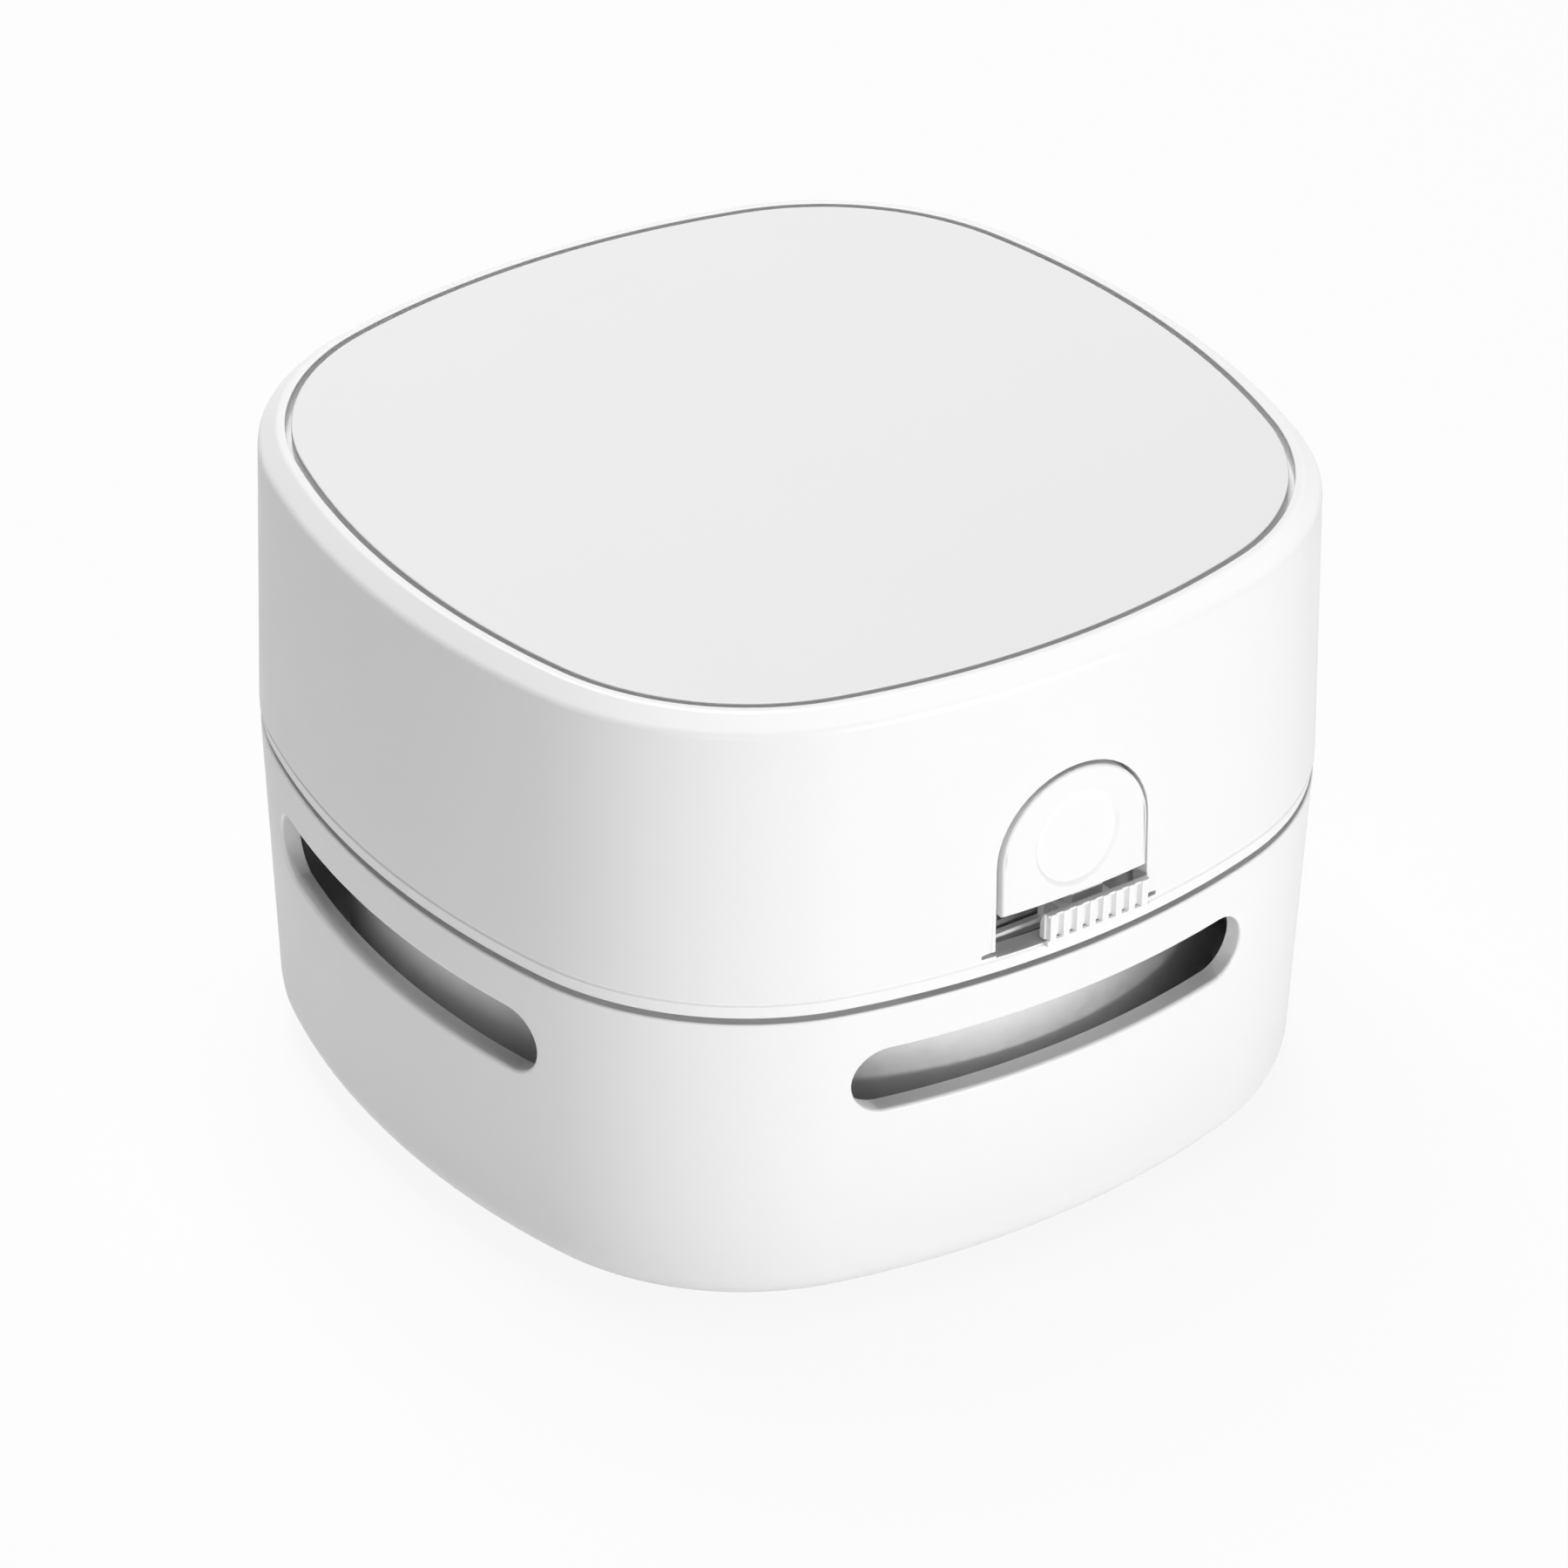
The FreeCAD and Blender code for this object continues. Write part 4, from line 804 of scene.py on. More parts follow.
# ---- head -------------------------------------------------------------------
class CLEANER_OT_housing(PieceOperator, bpy.types.Operator):
    """Build the head's housing: drafted wall, crease, sloping rim, cover recess, arch and socket hole"""
    bl_idname = "cleaner.housing"
    bl_label = "Housing"

    def execute(self, context):
        h = sizes("head")
        low, top = HEAD_LOW.z, HEAD_HIGH.z
        recess_half = h.cover_half + h.cover_gap
        recess = top - h.cover_thickness
        ledge = recess - h.ledge_thickness
        shoulder = top - h.rim_drop
        below, above = h.crease - h.crease_reach, h.crease + h.crease_reach
        over_openings = (SOCKET_HIGH.z + MM, 50.8 * MM)    # level loops that keep the cut faces small
        section = rounded([
            (head_half(low) - h.crease_inset, low, 0.1 * MM),
            (head_half(below) - h.crease_inset * 0.1, below, 0),
            (head_half(h.crease) - h.crease_depth, h.crease, 0),
            (head_half(above), above, 0),
            *((head_half(z), z, 0) for z in over_openings),
            (head_half(shoulder), shoulder, 1.1 * MM),
            (head_half(top) - h.rim_width, top, 0.6 * MM),
            (recess_half, top, 0.1 * MM),
            (recess_half, recess, 0),
            (h.ledge_half, recess, 0.1 * MM),
            (h.ledge_half, ledge, 0.1 * MM),
            (head_half(ledge) - h.wall, ledge, 0.5 * MM),
            (head_half(low) - h.wall, low, 0.12 * MM),
        ], steps=6)
        piece = sweep("housing", section)
        object_mode()
        combine(piece, [self.arch(), self.slit(), self.socket_hole()])
        self.round_openings(piece)
        combine(piece, self.inner_parts(ledge), "UNION")
        settle(piece, "head", ["upper_housing"], "white_shell")
        return {"FINISHED"}

    def arch(self):
        n = sizes("latch")
        points = arch_points(n.arch_half, n.arch_foot, n.arch_spring)
        return prism("arch_cut", points, -OUTSIDE, -BEHIND_WALL)

    def slit(self):
        """The slide's level slit, a little wider than the arch on both sides."""
        return bar("slit_cut", (-9.1 * MM, -OUTSIDE, 33.6 * MM), (8.8 * MM, -40.5 * MM, 33.95 * MM))

    def socket_hole(self):
        room = 0.35 * MM
        half = (SOCKET_HIGH.x - SOCKET_LOW.x) / 2 + room
        height = SOCKET_HIGH.z - SOCKET_LOW.z + 2 * room
        middle = (SOCKET_LOW.z + SOCKET_HIGH.z) / 2
        return prism("socket_cut", stadium_points(half, height, middle), 37 * MM, OUTSIDE)

    def round_openings(self, piece):
        """Softens the outer edges of the arch and the socket hole."""
        n = sizes("latch")
        arch_heights = (n.arch_foot + 0.4 * MM, 50 * MM)
        socket_heights = (35 * MM, 41 * MM)

        def on_opening(edge):
            middle = middle_of(edge)
            if abs(level(middle) - head_half(middle.z)) > ON_FACE or abs(middle.x) > 8 * MM:
                return False
            low, high = socket_heights if middle.y > 0 else arch_heights
            return low < middle.z < high

        soften_edges(piece, sizes("head").opening_round, 2, on_opening, 40)

    def inner_parts(self, ledge):
        """Screw bosses down to the motor bracket, and the ribs that rest on the lip."""
        h = sizes("head")
        places = four_places(h.boss_reach)
        parts = [post("boss", 4 * MM, h.boss_foot, ledge + OVERLAP, place) for place in places]
        corner = math.sqrt(2) * corner_centre() + sizes("outline").corner_radius
        half, foot, top = 1.2 * MM, 33.2 * MM, 40.3 * MM
        for turn in QUARTERS:
            rib = bar("rib", (corner - 3.6 * MM, -half, foot), (corner - 1.3 * MM, half, top))
            parts.append(placed(rib, turn=(0, 0, turn + math.pi / 4)))
        return parts


class CLEANER_OT_cover(PieceOperator, bpy.types.Operator):
    """Build the flush cover panel with its four clips"""
    bl_idname = "cleaner.cover"
    bl_label = "Cover"

    def execute(self, context):
        h = sizes("head")
        top = HEAD_HIGH.z
        low = top - h.cover_thickness
        middle, half = 30 * MM, h.cover_half
        section = rounded([(middle, low, 0), (half, low, 0), (half, top, 0.15 * MM), (middle, top, 0)])
        piece = sweep("cover_panel", section, closed=False)
        close_middle(piece, middle, (low, top))
        combine(piece, self.clips(low), "UNION")
        settle(piece, "head", ["top_cover"], "cover_white")
        return {"FINISHED"}

    def clips(self, low):
        """Hooks that snap under the ledge, one on each side."""
        h = sizes("head")
        root, under = low + OVERLAP, low - h.ledge_thickness - 0.15 * MM
        front = -h.ledge_half + 0.3 * MM
        back, hook, nose = front + 1.1 * MM, front - 0.8 * MM, front - 0.2 * MM
        foot, half = COVER_LOW.z, 3.5 * MM
        points = [(front, root), (front, under), (hook, under), (nose, foot), (back, foot), (back, root)]
        return [prism("clip", points, -half, half, turn + math.pi / 2) for turn in QUARTERS]


class CLEANER_OT_button(PieceOperator, bpy.types.Operator):
    """Build the arch button: face that follows the wall, finger dish, flange, hooked legs and spring pins"""
    bl_idname = "cleaner.button"
    bl_label = "Release button"

    def execute(self, context):
        n, h = sizes("latch"), sizes("head")
        half = n.arch_half - n.button_gap
        face = self.skin("release_button_face", -n.button_proud, h.wall + 0.3 * MM, 34 * MM, 52 * MM)
        points = arch_points(half, n.button_foot, n.arch_spring + n.button_lift)
        combine(face, [prism("arch_keep", points, -OUTSIDE, -BEHIND_WALL)], "INTERSECT")
        thin = bar("thin_cut", (-9 * MM, -41 * MM, 36 * MM), (9 * MM, -BEHIND_WALL, n.flange_foot))
        combine(face, [thin, self.dish()])
        self.round_face(face)
        combine(face, [self.flange(), *self.legs()], "UNION")
        settle(face, "release_button", ["release_button"], "white_shell")
        return {"FINISHED"}

    def skin(self, name, outer, inner, low, high):
        """A stretch of the front wall between two depths."""
        section = [
            (head_half(low) - outer, low), (head_half(high) - outer, high),
            (head_half(high) - inner, high), (head_half(low) - inner, low),
        ]
        return sector(name, section, math.radians(11), 26)

    def dish(self):
        """Cutter for the finger dish: it follows the wall, and a cone gives it a sloping rim."""
        n = sizes("latch")
        depth = n.dish_depth - n.button_proud
        tool = self.skin("dish_cut", -0.8 * MM, depth, 36 * MM, 49 * MM)
        levels = [k * 0.05 * MM for k in range(-6, 13)]
        slope = [(n.dish_radius + n.dish_slope * z, z) for z in levels]
        cone = revolve("dish_rim", [(0, levels[0]), *slope, (0, levels[-1])], 96)
        placed(cone, (0, depth - head_half(n.dish_height), n.dish_height), (math.pi / 2, 0, 0))
        return combine(tool, [cone], "INTERSECT")

    def round_face(self, piece):
        """Softens the button's outer edge and leaves the dish's rim."""
        n = sizes("latch")
        rim = n.dish_radius + 0.8 * MM

        def outer_edge(edge):
            middle = middle_of(edge)
            on_face = abs(level(middle) - head_half(middle.z) - n.button_proud) < ON_FACE
            return on_face and math.hypot(middle.x, middle.z - n.dish_height) > rim

        soften_edges(piece, n.button_round, 4, outer_edge, 40)

    def flange(self):
        """Hidden flange behind the opening, with an ear over each leg."""
        n = sizes("latch")
        inset, ear = sizes("head").wall + 0.25 * MM, 11.6 * MM
        flange = self.skin("flange", inset, inset + 1.2 * MM, 36 * MM, 52 * MM)
        points = arch_points(n.arch_half + 1.5 * MM, n.flange_foot, n.arch_spring)
        shape = prism("flange_keep", points, -OUTSIDE, -WELL_INSIDE)
        ears = bar("ears", (-ear, -OUTSIDE, n.flange_foot), (ear, -WELL_INSIDE, n.ear_top))
        combine(shape, [ears], "UNION")
        return combine(flange, [shape], "INTERSECT")

    def legs(self):
        """Two hooked legs down to the catches, and the pins that the springs sit on."""
        n = sizes("latch")
        foot, shoulder, top = 27.2 * MM, 38.0 * MM, n.ear_top
        back, front, hook = -36.4 * MM, -37.8 * MM, -38.8 * MM
        thick = front - 0.6 * MM
        points = [
            (back, top), (back, foot), (front, foot), (hook, foot + 0.5 * MM), (hook, foot + 1.4 * MM),
            (front, foot + 1.4 * MM), (front, shoulder), (thick, shoulder), (thick, top),
        ]
        parts = []
        for side in (-1, 1):
            leg = prism("leg", points, -1.4 * MM, 1.4 * MM, math.pi / 2)
            parts.append(placed(leg, (side * n.leg_spread, 0, 0)))
            pin = post("pin", 0.85 * MM, 0, 1.9 * MM, sides=24)
            parts.append(placed(pin, (side * 4.3 * MM, -38.8 * MM, 46.5 * MM), (-math.pi / 2, 0, 0)))
        return parts


class CLEANER_OT_knob(PieceOperator, bpy.types.Operator):
    """Build the ribbed thumb slide: upright ribs on a plate, a neck, a flange and an apron"""
    bl_idname = "cleaner.knob"
    bl_label = "Switch knob"

    def execute(self, context):
        n = sizes("latch")
        front, low, high = KNOB_LOW.y, n.knob_low, n.knob_high
        back, floor = front + 1.1 * MM, front + n.groove_depth
        reach = n.groove_pitch * (n.grooves + 1) / 2
        left, right = n.knob_middle - reach + 0.1 * MM, n.knob_middle + reach - 0.1 * MM
        plate = [(floor, low), (floor, high), (floor + 0.12 * MM, high), (back, high - MM), (back, low)]
        base = prism("power_switch", plate, -right, -left, math.pi / 2)
        parts = [self.ribs(n.knob_middle - reach, front, floor), *self.strips(left, right, front, floor)]
        combine(base, parts + self.carrier(back), "UNION")
        combine(base, [self.lever_socket()])
        settle(base, "power_switch", ["switch_knob"], "white_shell")
        return {"FINISHED"}

    def ribs(self, left, front, floor):
        """The ribbed front in one piece: upright ribs with slightly sloping flanks."""
        n = sizes("latch")
        half = (n.groove_pitch - n.groove_width) / 2
        wide = half + 0.12 * MM
        points = []
        for i in range(n.grooves + 1):
            x = left + (i + 0.5) * n.groove_pitch
            points += [(x - wide, floor), (x - half, front), (x + half, front), (x + wide, floor)]
        root = floor + 0.08 * MM
        points += [(points[-1][0], root), (points[0][0], root)]
        return extruded("ribs", [(x, y, n.knob_low) for x, y in points], (0, 0, n.knob_high - n.knob_low))

    def strips(self, left, right, front, floor):
        """The hem that hangs over the sill, and the brow that closes the grooves at the top."""
        n = sizes("latch")
        edge = 0.1 * MM
        hem = bar("hem", (left, front, n.knob_hem), (right, -41.99 * MM, n.knob_low + 0.05 * MM), 0.06 * MM)
        brow_low = (left + edge, front + edge, n.knob_high - 0.22 * MM)
        return [hem, bar("brow", brow_low, (right - edge, floor + 0.06 * MM, n.knob_high))]

    def carrier(self, back):
        """Neck and boss through the opening, and the flange and low apron that slide behind it."""
        n = sizes("latch")
        middle, low, shelf = n.knob_middle, n.knob_low, -39.1 * MM
        neck, boss, into = 2.6 * MM, 1.6 * MM, shelf + OVERLAP
        return [
            bar("neck", (middle - neck, back - OVERLAP, low), (middle + neck, into, 34.9 * MM)),
            bar("boss", (middle - boss, -40.6 * MM, low), (middle + boss, into, n.knob_high)),
            bar("flange", (-1.2 * MM, shelf, KNOB_LOW.z), KNOB_HIGH, 0.12 * MM),
            bar("apron", (-6.8 * MM, shelf, KNOB_LOW.z), (0, KNOB_HIGH.y, 33.65 * MM), 0.1 * MM),
        ]

    def lever_socket(self):
        middle, half = sizes("latch").knob_middle, 0.8 * MM
        return bar("socket", (middle - half, -40.2 * MM, 34.3 * MM), (middle + half, -38 * MM, 35.9 * MM))


class CLEANER_OT_socket(PieceOperator, bpy.types.Operator):
    """Build the charging socket: rolled metal sleeve, a mouth with a softened edge and a tongue"""
    bl_idname = "cleaner.socket"
    bl_label = "Charging socket"

    def execute(self, context):
        low, high = SOCKET_LOW, SOCKET_HIGH
        half, height = (high.x - low.x) / 2, high.z - low.z
        middle = (low.z + high.z) / 2
        wall, tongue_half, tongue_height = 0.3 * MM, 3.3 * MM, 0.35 * MM
        piece = prism("socket_sleeve", stadium_points(half, height, middle), low.y, high.y)
        inner = stadium_points(half - wall, height - 2 * wall, middle)
        combine(piece, [prism("mouth", inner, low.y + 1.2 * MM, high.y + MM)])
        soften_edges(piece, 0.1 * MM, 2, lambda e: all(v.co.y > high.y - 0.01 * MM for v in e.verts), 60)
        tongue_low = (-tongue_half, low.y + MM, middle - tongue_height)
        tongue_high = (tongue_half, high.y - 0.8 * MM, middle + tongue_height)
        combine(piece, [bar("tongue", tongue_low, tongue_high, 0.12 * MM)], "UNION")
        settle(piece, "head", ["usb_socket"], "nickel")
        return {"FINISHED"}


# ---- dust box ---------------------------------------------------------------
class CLEANER_OT_dust_box(PieceOperator, bpy.types.Operator):
    """Build the dust box shell: drafted wall, round base, lip, latch gap, catches and exhaust slots"""
    bl_idname = "cleaner.dust_box"
    bl_label = "Dust box"

    def execute(self, context):
        o, b = sizes("outline"), sizes("box")
        foot, top = BOX_LOW.z, o.parting - o.gap / 2
        floor = foot + b.floor
        lip_outer = head_half(o.parting) - b.lip_inset
        lip_inner = lip_outer - b.lip_thickness
        lip_top, lip_round = BOX_HIGH.z, 0.2 * MM
        middle = 29 * MM
        beside_slots = (b.slot_centre - b.slot_height, b.slot_centre + 3.9 * MM)    # loops, as in the housing
        section = rounded([
            (middle, foot, 0),
            (box_half(foot), foot, b.base_round),
            *((box_half(z), z, 0) for z in beside_slots),
            (box_half(top), top, 0.18 * MM),
            (lip_outer, top, 0),
            (lip_outer, lip_top, lip_round),
            (lip_inner, lip_top, lip_round),
            (lip_inner, b.lip_foot, lip_round),
            (box_half(b.lip_foot) - b.wall, b.lip_foot, 0),
            (box_half(floor) - b.wall, floor, b.base_round - b.wall),
            (middle, floor, 0),
        ], steps=7)
        piece = sweep("dust_box_shell", section, closed=False)
        close_middle(piece, middle, (foot, floor))
        combine(piece, [self.latch_gap()])
        combine(piece, self.catches(), "UNION")
        combine(piece, self.slots() + [self.mouth_hole()])
        self.round_slots(piece)
        self.pads_and_posts(piece)
        settle(piece, "dust_box", ["lower_shell"], "white_shell")
        return {"FINISHED"}

    def latch_gap(self):
        """Takes the lip away behind the button's legs, and leaves the wall."""
        b = sizes("box")
        reach = math.asin(14.5 * MM / (sizes("outline").side_radius - 4 * MM))
        low, top = b.lip_foot - MM, BOX_HIGH.z + MM
        outer, inner = box_half(b.lip_foot) - b.wall, 35 * MM
        return sector("latch_gap", [(outer, low), (outer, top), (inner, top), (inner, low)], reach, 12)

    def catches(self):
        """A catch for each leg's hook, on the inside of the wall."""
        half, front, back, low, high = 1.7 * MM, -40.6 * MM, -38.1 * MM, 28.9 * MM, 30.3 * MM
        spread = sizes("latch").leg_spread
        return [bar("catch", (x - half, front, low), (x + half, back, high)) for x in (-spread, spread)]

    def slots(self):
        b = sizes("box")
        points = stadium_points(b.slot_half, b.slot_height, b.slot_centre, 16)
        return [prism("slot_cut", points, -OUTSIDE, -WELL_INSIDE, turn) for turn in QUARTERS]

    def mouth_hole(self):
        radius = (MOUTH_HIGH.x - MOUTH_LOW.x) / 2 - sizes("box").mouth_flange + 0.3 * MM
        return post("mouth_cut", radius, 0, 5 * MM, sides=128)

    def round_slots(self, piece):
        b = sizes("box")

        def slot_edge(edge):
            middle = middle_of(edge)
            beside = abs(middle.z - b.slot_centre) <= b.slot_height / 2 + 0.1 * MM
            return beside and abs(level(middle) - box_half(middle.z)) < ON_FACE

        soften_edges(piece, b.slot_round, 4, slot_edge, 45)

    def pads_and_posts(self, piece):
        """Screw posts inside the floor, and the recesses for the glide pads."""
        b = sizes("box")
        places, foot = four_places(b.pad_reach), BOX_LOW.z
        combine(piece, [post("post", 3.2 * MM, foot + MM, 5 * MM, place) for place in places], "UNION")
        recess = b.pad_radius + 0.15 * MM
        cuts = [post("pad_cut", recess, 0, foot + 0.6 * MM, place, 64) for place in places]
        cuts += [post("head_cut", 2.1 * MM, 0, foot + 1.9 * MM, place, 32) for place in places]
        cuts += [post("bore", 1.0 * MM, foot, 6 * MM, place, 24) for place in places]
        combine(piece, cuts)


class CLEANER_OT_dust_cup(PieceOperator, bpy.types.Operator):
    """Build the metallised round cup with its chimney and screw posts"""
    bl_idname = "cleaner.dust_cup"
    bl_label = "Dust cup"

    def execute(self, context):
        low, rim, outer = CUP_LOW.z, CUP_HIGH.z, CUP_HIGH.x
        inner, floor, seat = outer - 1.5 * MM, low + 1.5 * MM, rim - 1.9 * MM
        shelf, shelf_foot = inner - 1.6 * MM, seat - 0.7 * MM
        chimney, chimney_top = 9.0 * MM, 18 * MM
        edge, fillet = 0.2 * MM, 1.2 * MM
        section = rounded([
            (chimney, low, 0.3 * MM), (outer, low, 2.0 * MM), (outer, rim, 0.3 * MM), (inner, rim, 0.3 * MM),
            (inner, seat, 0), (shelf, seat, edge), (shelf, shelf_foot, edge), (inner, seat - 2.3 * MM, 0),
            (inner, floor, fillet), (chimney + 1.4 * MM, floor, fillet),
            (chimney + 0.9 * MM, chimney_top, edge), (chimney, chimney_top, edge),
        ])
        piece = revolve("dust_cup_polished", section, 192)
        places = four_places(sizes("box").pad_reach)
        combine(piece, [post("post", 2.4 * MM, low + MM, low + 7 * MM, place) for place in places], "UNION")
        combine(piece, [post("bore", 1.0 * MM, low - MM, low + 6 * MM, place, 24) for place in places])
        settle(piece, "dust_box", ["dust_cup"], "smoke_plastic")
        return {"FINISHED"}


class CLEANER_OT_mouth(PieceOperator, bpy.types.Operator):
    """Build the suction mouth, its ring of bristles and the glide pads"""
    bl_idname = "cleaner.mouth"
    bl_label = "Suction mouth and brush"

    def execute(self, context):
        self.funnel()
        self.brush()
        self.pads()
        return {"FINISHED"}

    def funnel(self):
        """A ring with a groove for the brush and a cone up to the chimney."""
        b = sizes("box")
        foot, top = MOUTH_LOW.z, MOUTH_HIGH.z
        body, flange = MOUTH_HIGH.x - b.mouth_flange, MOUTH_HIGH.x
        groove_in, groove_out = b.brush_radius - 1.5 * MM, b.brush_radius + 1.5 * MM
        groove, shelf, edge, throat = foot + 1.5 * MM, foot + 2.05 * MM, 0.15 * MM, 9 * MM
        section = rounded([
            (17 * MM, foot, 0.5 * MM), (groove_in, foot, edge), (groove_in, groove, 0),
            (groove_out, groove, 0), (groove_out, foot, edge), (body, foot, 0.3 * MM), (body, shelf, 0),
            (flange, shelf, 0.1 * MM), (flange, top, 0.1 * MM), (throat, top, edge),
            (throat, top - 0.6 * MM, 0.2 * MM), (15.5 * MM, foot + 0.9 * MM, 0.6 * MM),
        ], steps=4)
        piece = revolve("suction_mouth_ring", section)
        settle(piece, "dust_box", ["suction_mouth"], "grey_plastic")

    def brush(self):
        """A strip that holds tufts, each a bunch of thin tapered filaments that fan out a little."""
        root, tip = BOX_LOW.z + 0.9 * MM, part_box("bristles")[0].z
        radius = sizes("box").brush_radius
        inner, outer, low, high = radius - 1.4 * MM, radius + 1.4 * MM, root - 0.5 * MM, root + 0.6 * MM
        edge = 0.1 * MM
        section = rounded([(inner, low, edge), (outer, low, edge), (outer, high, 0), (inner, high, 0)], 2)
        strip = revolve("bristle_ring", section, 96)
        tuft = self.tuft(root, tip, radius)
        tufts = 72
        copies = [copied(tuft, turn=(0, 0, 2 * math.pi * i / tufts)) for i in range(tufts)]
        bpy.data.objects.remove(tuft)
        settle(join("bristle_ring", [strip, *copies]), "dust_box", ["bristles"], "bristle", 60)

    def tuft(self, root, tip, radius):
        """Filaments set on a small sunflower spiral, each a tapered stalk that leans outwards."""
        count, bunch, lean = 22, 0.85 * MM, 0.32 * MM
        stalks = []
        for k in range(count):
            turn = k * GOLDEN_ANGLE
            spread = math.sqrt((k + 0.5) / count)
            x, y = radius + bunch * spread * math.cos(turn), bunch * spread * math.sin(turn)
            stalk_length = (root - tip) * (1.0 - 0.12 * ((k * 7) % 5) / 4)
            deselect()
            bpy.ops.mesh.primitive_cone_add(
                vertices=5, radius1=0.045 * MM, radius2=0.085 * MM, depth=stalk_length,
                location=(x, y, root - stalk_length / 2),
            )
            stalk = bpy.context.object
            pick(stalk, lambda edge: all(v.co.z < 0 for v in edge.verts))
            away = lean * spread
            bpy.ops.transform.translate(value=(away * math.cos(turn), away * math.sin(turn), 0))
            object_mode()
            stalks.append(stalk)
        join("tuft", stalks)
        return primitive("tuft")

    def pads(self):
        b = sizes("box")
        pads = []
        for place in four_places(b.pad_reach):
            pad = post("pad", b.pad_radius, 0, BOX_LOW.z + 0.6 * MM, place, 64)
            soften_edges(pad, 0.4 * MM, 4, lambda e: all(v.co.z < 0.01 * MM for v in e.verts), 60)
            soften_edges(pad, 0.1 * MM, 2, lambda e: all(v.co.z > MM for v in e.verts), 60)
            pads.append(pad)
        settle(join("glide_pads_soft", pads), "dust_box", ["glide_pads"], "pad_rubber")


# ---- inner pieces -----------------------------------------------------------
class CLEANER_OT_inner(PieceOperator, bpy.types.Operator):
    """Stand clean copies of the inner mouldings in their places, with softened edges"""
    bl_idname = "cleaner.inner"
    bl_label = "Inner pieces"
    soften = {
        "filter_frame": 0.15, "fan_cover": 0.15, "motor_bracket": 0.1, "switch_body": 0.1,
        "impeller": 0.08, "seal_ring": 0.15, "motor_can": 0.0, "filter_mesh": 0.0, "battery_cell": 0.0,
        "motor_shaft": 0.1, "button_springs": 0.0, "motor_end_cap": 0.1, "charge_board": 0.05,
    }

    def execute(self, context):
        bodies = frame["record"]["behaviour"]["bodies"]
        body_of = {node: body for body, nodes in bodies.items() for node in nodes}
        slot_of = {part["node"]: part["material_slot"] for part in frame["record"]["subparts"]}
        for node, width in self.soften.items():
            refine(node, body_of[node], slot_of[node], width * MM)
        return {"FINISHED"}


class CLEANER_OT_screws(PieceOperator, bpy.types.Operator):
    """Build the pan-head screws with cross recesses at each of their places"""
    bl_idname = "cleaner.screws"
    bl_label = "Screws"

    def execute(self, context):
        for node, body in (("base_screws", "dust_box"), ("bracket_screws", "head"), ("cover_screws", "head")):
            self.screw_set(node, body, 1.1 * MM)
        self.screw_set("board_screws", "head", 0.9 * MM, rows=(1,), upwards=True)
        return {"FINISHED"}

    def screw_set(self, node, body, head_height, rows=(1, -1), upwards=False):
        """One screw is turned and cut, then copied to each place that the node has."""
        low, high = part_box(node)
        head_radius = 1.9 * MM
        screw = self.screw(high.z - low.z, head_height, head_radius)
        x, y = high.x - head_radius, high.y - head_radius
        z, turn = (high.z, math.pi) if upwards else (low.z, 0)
        places = [(side * x, row * y, z) for row in rows for side in (1, -1)]
        copies = [copied(screw, place, (turn, 0, 0)) for place in places]
        bpy.data.objects.remove(screw)
        settle(join(node + "_turned", copies), body, [node], "screw_steel")

    def screw(self, height, head_height, head_radius):
        """Pan head down at zero, shank upwards, with a cross recess."""
        crest, root, pitch = 0.97 * MM, 0.72 * MM, 0.6 * MM
        corners = [
            (0.0, 0.0, 0), (head_radius, 0.0, 0.5 * MM), (head_radius, head_height, 0.1 * MM),
            (crest, head_height, 0),
        ]
        z = head_height + 0.5 * MM
        while z + pitch < height - 0.8 * MM:
            corners += [(root, z, 0), (crest, z + pitch * 0.35, 0), (root, z + pitch * 0.7, 0)]
            z += pitch
        corners += [(root, z, 0), (0.5 * MM, height - 0.3 * MM, 0), (0.0, height, 0)]
        screw = revolve("screw", rounded(corners, 4), 32, closed=False)
        for turn in (0.0, math.pi / 2):
            blade = bar("cross", (-0.95 * MM, -0.2 * MM, -MM), (0.95 * MM, 0.2 * MM, 0.55 * MM))
            combine(screw, [placed(blade, turn=(0, 0, turn))])
        return screw


# ---- stage ------------------------------------------------------------------
def direction(azimuth, elevation):
    """A unit vector from the middle, by its angle round the object and above the horizon."""
    flat = math.cos(elevation)
    return Vector((flat * math.cos(azimuth), flat * math.sin(azimuth), math.sin(elevation)))


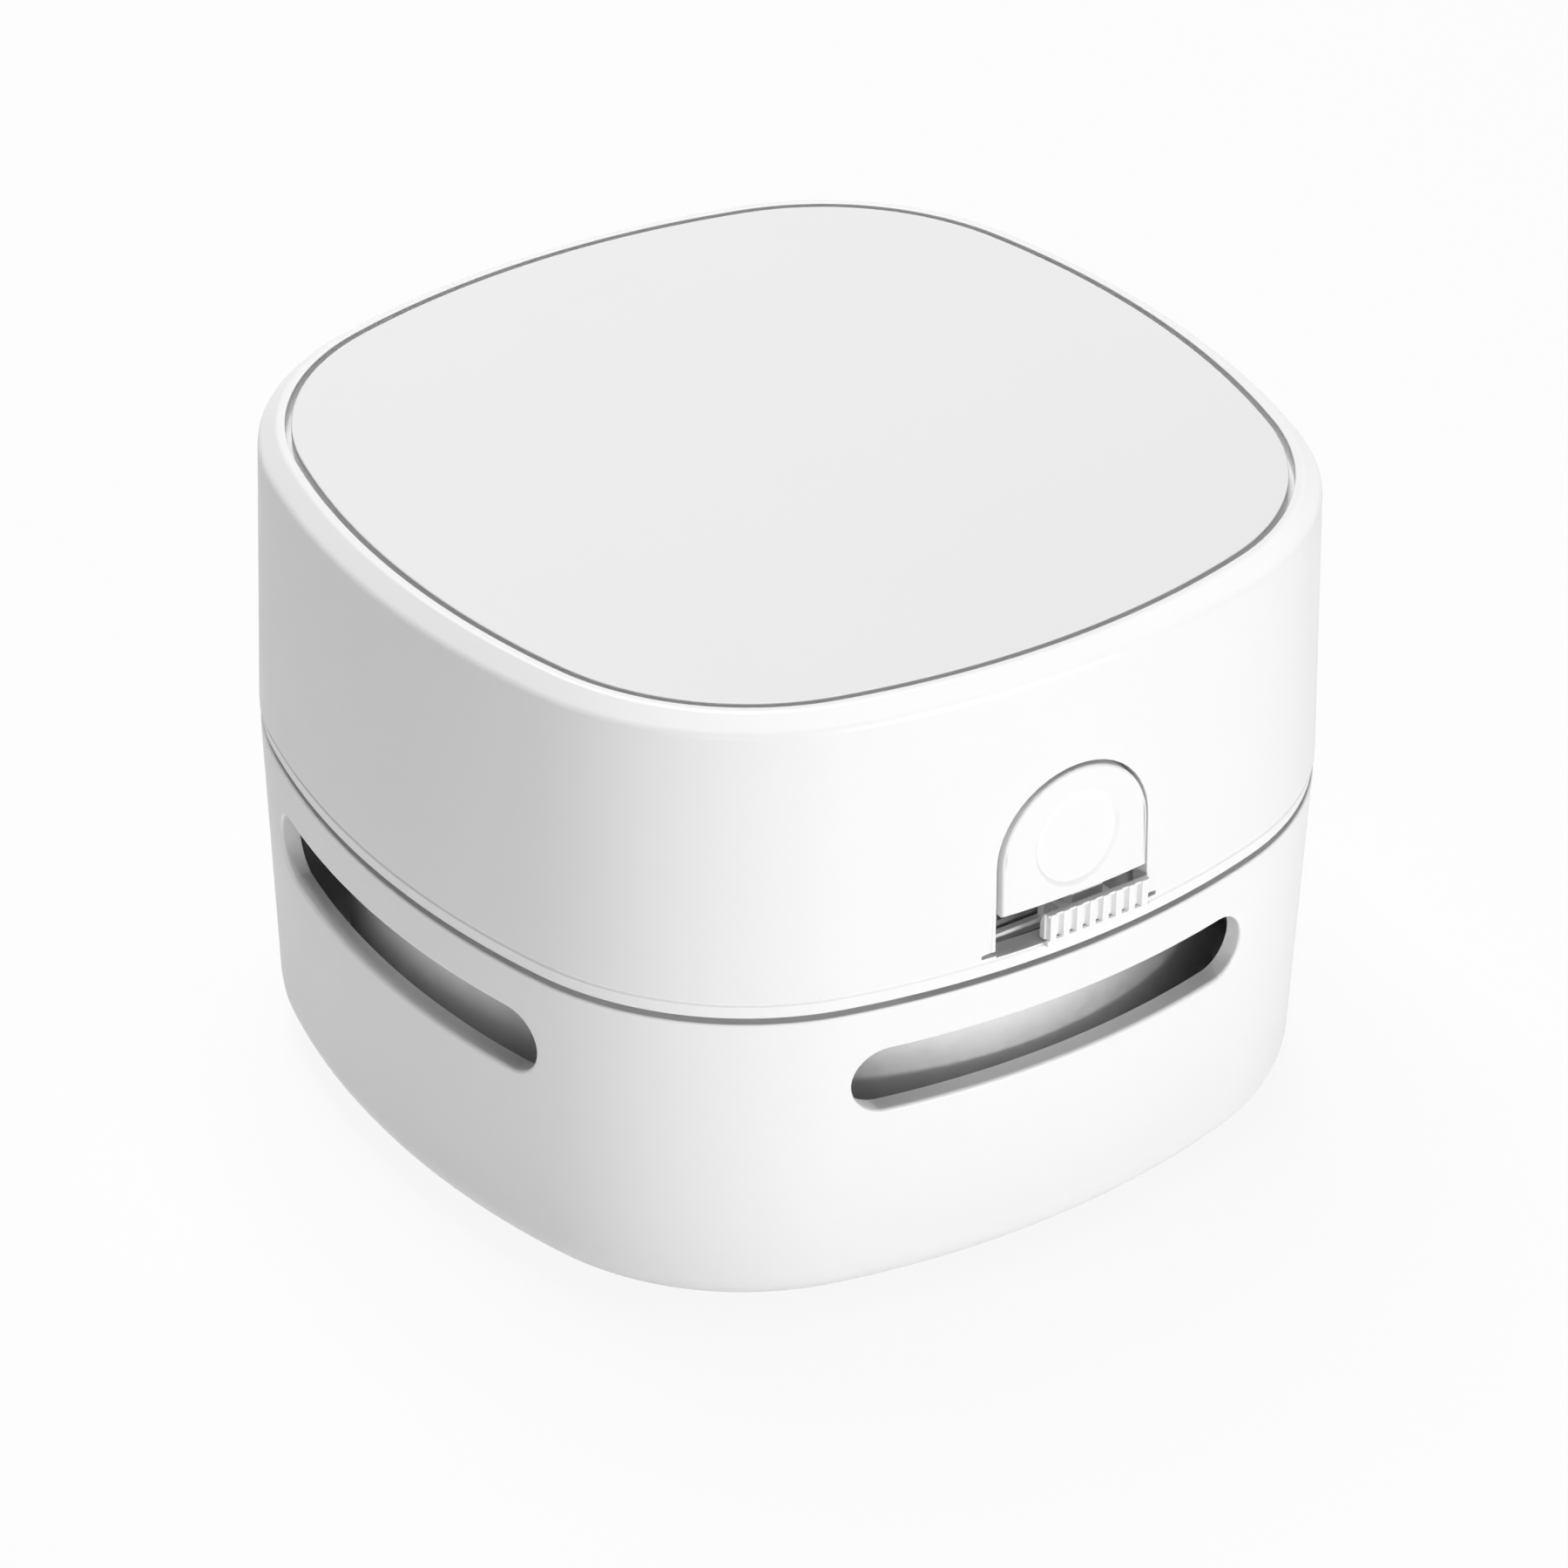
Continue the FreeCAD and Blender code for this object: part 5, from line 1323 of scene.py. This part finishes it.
class CLEANER_OT_stage(PieceOperator, bpy.types.Operator):
    """Set up the floor, the soft studio light and the camera"""
    bl_idname = "cleaner.stage"
    bl_label = "Stage"

    def execute(self, context):
        self.floor()
        self.light()
        self.camera()
        return {"FINISHED"}

    def floor(self):
        deselect()
        bpy.ops.mesh.primitive_plane_add(size=40.0, location=(0, 0, 0))
        floor = named("studio_floor")
        floor.data.materials.append(self.floor_material())

    def floor_material(self):
        """Pale floor that the camera, metal and glass see almost white; it still takes the shadow."""
        s = Shader("Studio floor")
        s.set(Base_Color=(0.80, 0.80, 0.80, 1.0), Roughness=0.9)
        glow = s.add("ShaderNodeEmission", Color=(1.0, 1.0, 1.0, 1.0), Strength=1.0)
        mix = s.add("ShaderNodeMixShader", Fac=s.maths("MULTIPLY", s.seen(), 0.9))
        s.feed(mix.inputs[1], s.surface.outputs["BSDF"])
        s.feed(mix.inputs[2], glow.outputs["Emission"])
        s.feed(s.tree.nodes["Material Output"].inputs["Surface"], mix.outputs["Shader"])
        return s.material

    def light(self):
        """A world that is white to look at and gives no light, two low strips and two high windows."""
        t = sizes("studio")
        world = bpy.data.worlds.new("Studio")
        bpy.context.scene.world = world
        sky = Nodes(world)
        background = sky.tree.nodes["Background"]
        sky.set_on(background, {"Color": (1.0, 1.0, 1.0, 1.0), "Strength": sky.seen()})
        strip, window = (0.6, 0.16), (0.5, 0.5)
        self.lamp("Left strip", 230, 6, strip, t.left_power)
        self.lamp("Front strip", 285, 6, strip, t.front_power)
        self.lamp("Back window", 80, 68, window, t.back_power)
        self.lamp("Top window", 90, 88, window, t.top_power)

    def lamp(self, name, azimuth, elevation, size, power):
        """An area lamp one metre away, by its direction in degrees, aimed at the object."""
        place = direction(math.radians(azimuth), math.radians(elevation))
        deselect()
        bpy.ops.object.light_add(type="AREA", location=place)
        lamp = bpy.context.object
        lamp.name = name
        lamp.data.shape = "RECTANGLE"
        lamp.data.size, lamp.data.size_y = size
        lamp.data.energy = power
        lamp.rotation_euler = (Vector((0, 0, 30 * MM)) - place).to_track_quat("-Z", "Y").to_euler()

    def camera(self):
        t = sizes("studio")
        away = direction(t.azimuth, t.elevation)
        place = Vector((0, 0, t.target)) + away * t.distance
        bpy.ops.object.camera_add(location=place)
        camera = bpy.context.object
        camera.data.lens = t.lens
        camera.data.sensor_width = 36.0
        camera.data.clip_start = 0.01
        aim = (-away).to_track_quat("-Z", "Y").to_matrix().to_4x4()
        turn = aim @ Matrix.Rotation(t.lift, 4, "X") @ Matrix.Rotation(t.roll, 4, "Z")
        camera.matrix_world = Matrix.Translation(place) @ turn
        bpy.context.scene.camera = camera
        bpy.context.scene.view_settings.view_transform = "Standard"


# ---- add-on -----------------------------------------------------------------
STEPS = (
    CLEANER_OT_finishes, CLEANER_OT_housing, CLEANER_OT_cover, CLEANER_OT_button, CLEANER_OT_knob,
    CLEANER_OT_socket, CLEANER_OT_dust_box, CLEANER_OT_dust_cup, CLEANER_OT_mouth, CLEANER_OT_inner,
    CLEANER_OT_screws, CLEANER_OT_stage,
)


class CLEANER_PT_panel(bpy.types.Panel):
    """Sizes, colours and steps of the desktop cleaner"""
    bl_idname = "CLEANER_PT_panel"
    bl_label = "Desktop Cleaner"
    bl_space_type = "VIEW_3D"
    bl_region_type = "UI"
    bl_category = "Cleaner"

    def draw(self, context):
        for name, group in GROUPS.items():
            box = self.layout.box()
            box.label(text=name.title())
            for key in group.__annotations__:
                box.prop(sizes(name), key)
        for step in STEPS:
            self.layout.operator(step.bl_idname)


CLASSES = (*GROUPS.values(), *STEPS, CLEANER_PT_panel)


def register():
    for cls in CLASSES:
        bpy.utils.register_class(cls)
    for name, group in GROUPS.items():
        setattr(bpy.types.Scene, "cleaner_" + name, PointerProperty(type=group))


def unregister():
    for name in GROUPS:
        delattr(bpy.types.Scene, "cleaner_" + name)
    for cls in reversed(CLASSES):
        bpy.utils.unregister_class(cls)


def main():
    register()
    for step in STEPS:
        group, name = step.bl_idname.split(".")
        getattr(getattr(bpy.ops, group), name)()


if __name__ == "__main__":
    main()
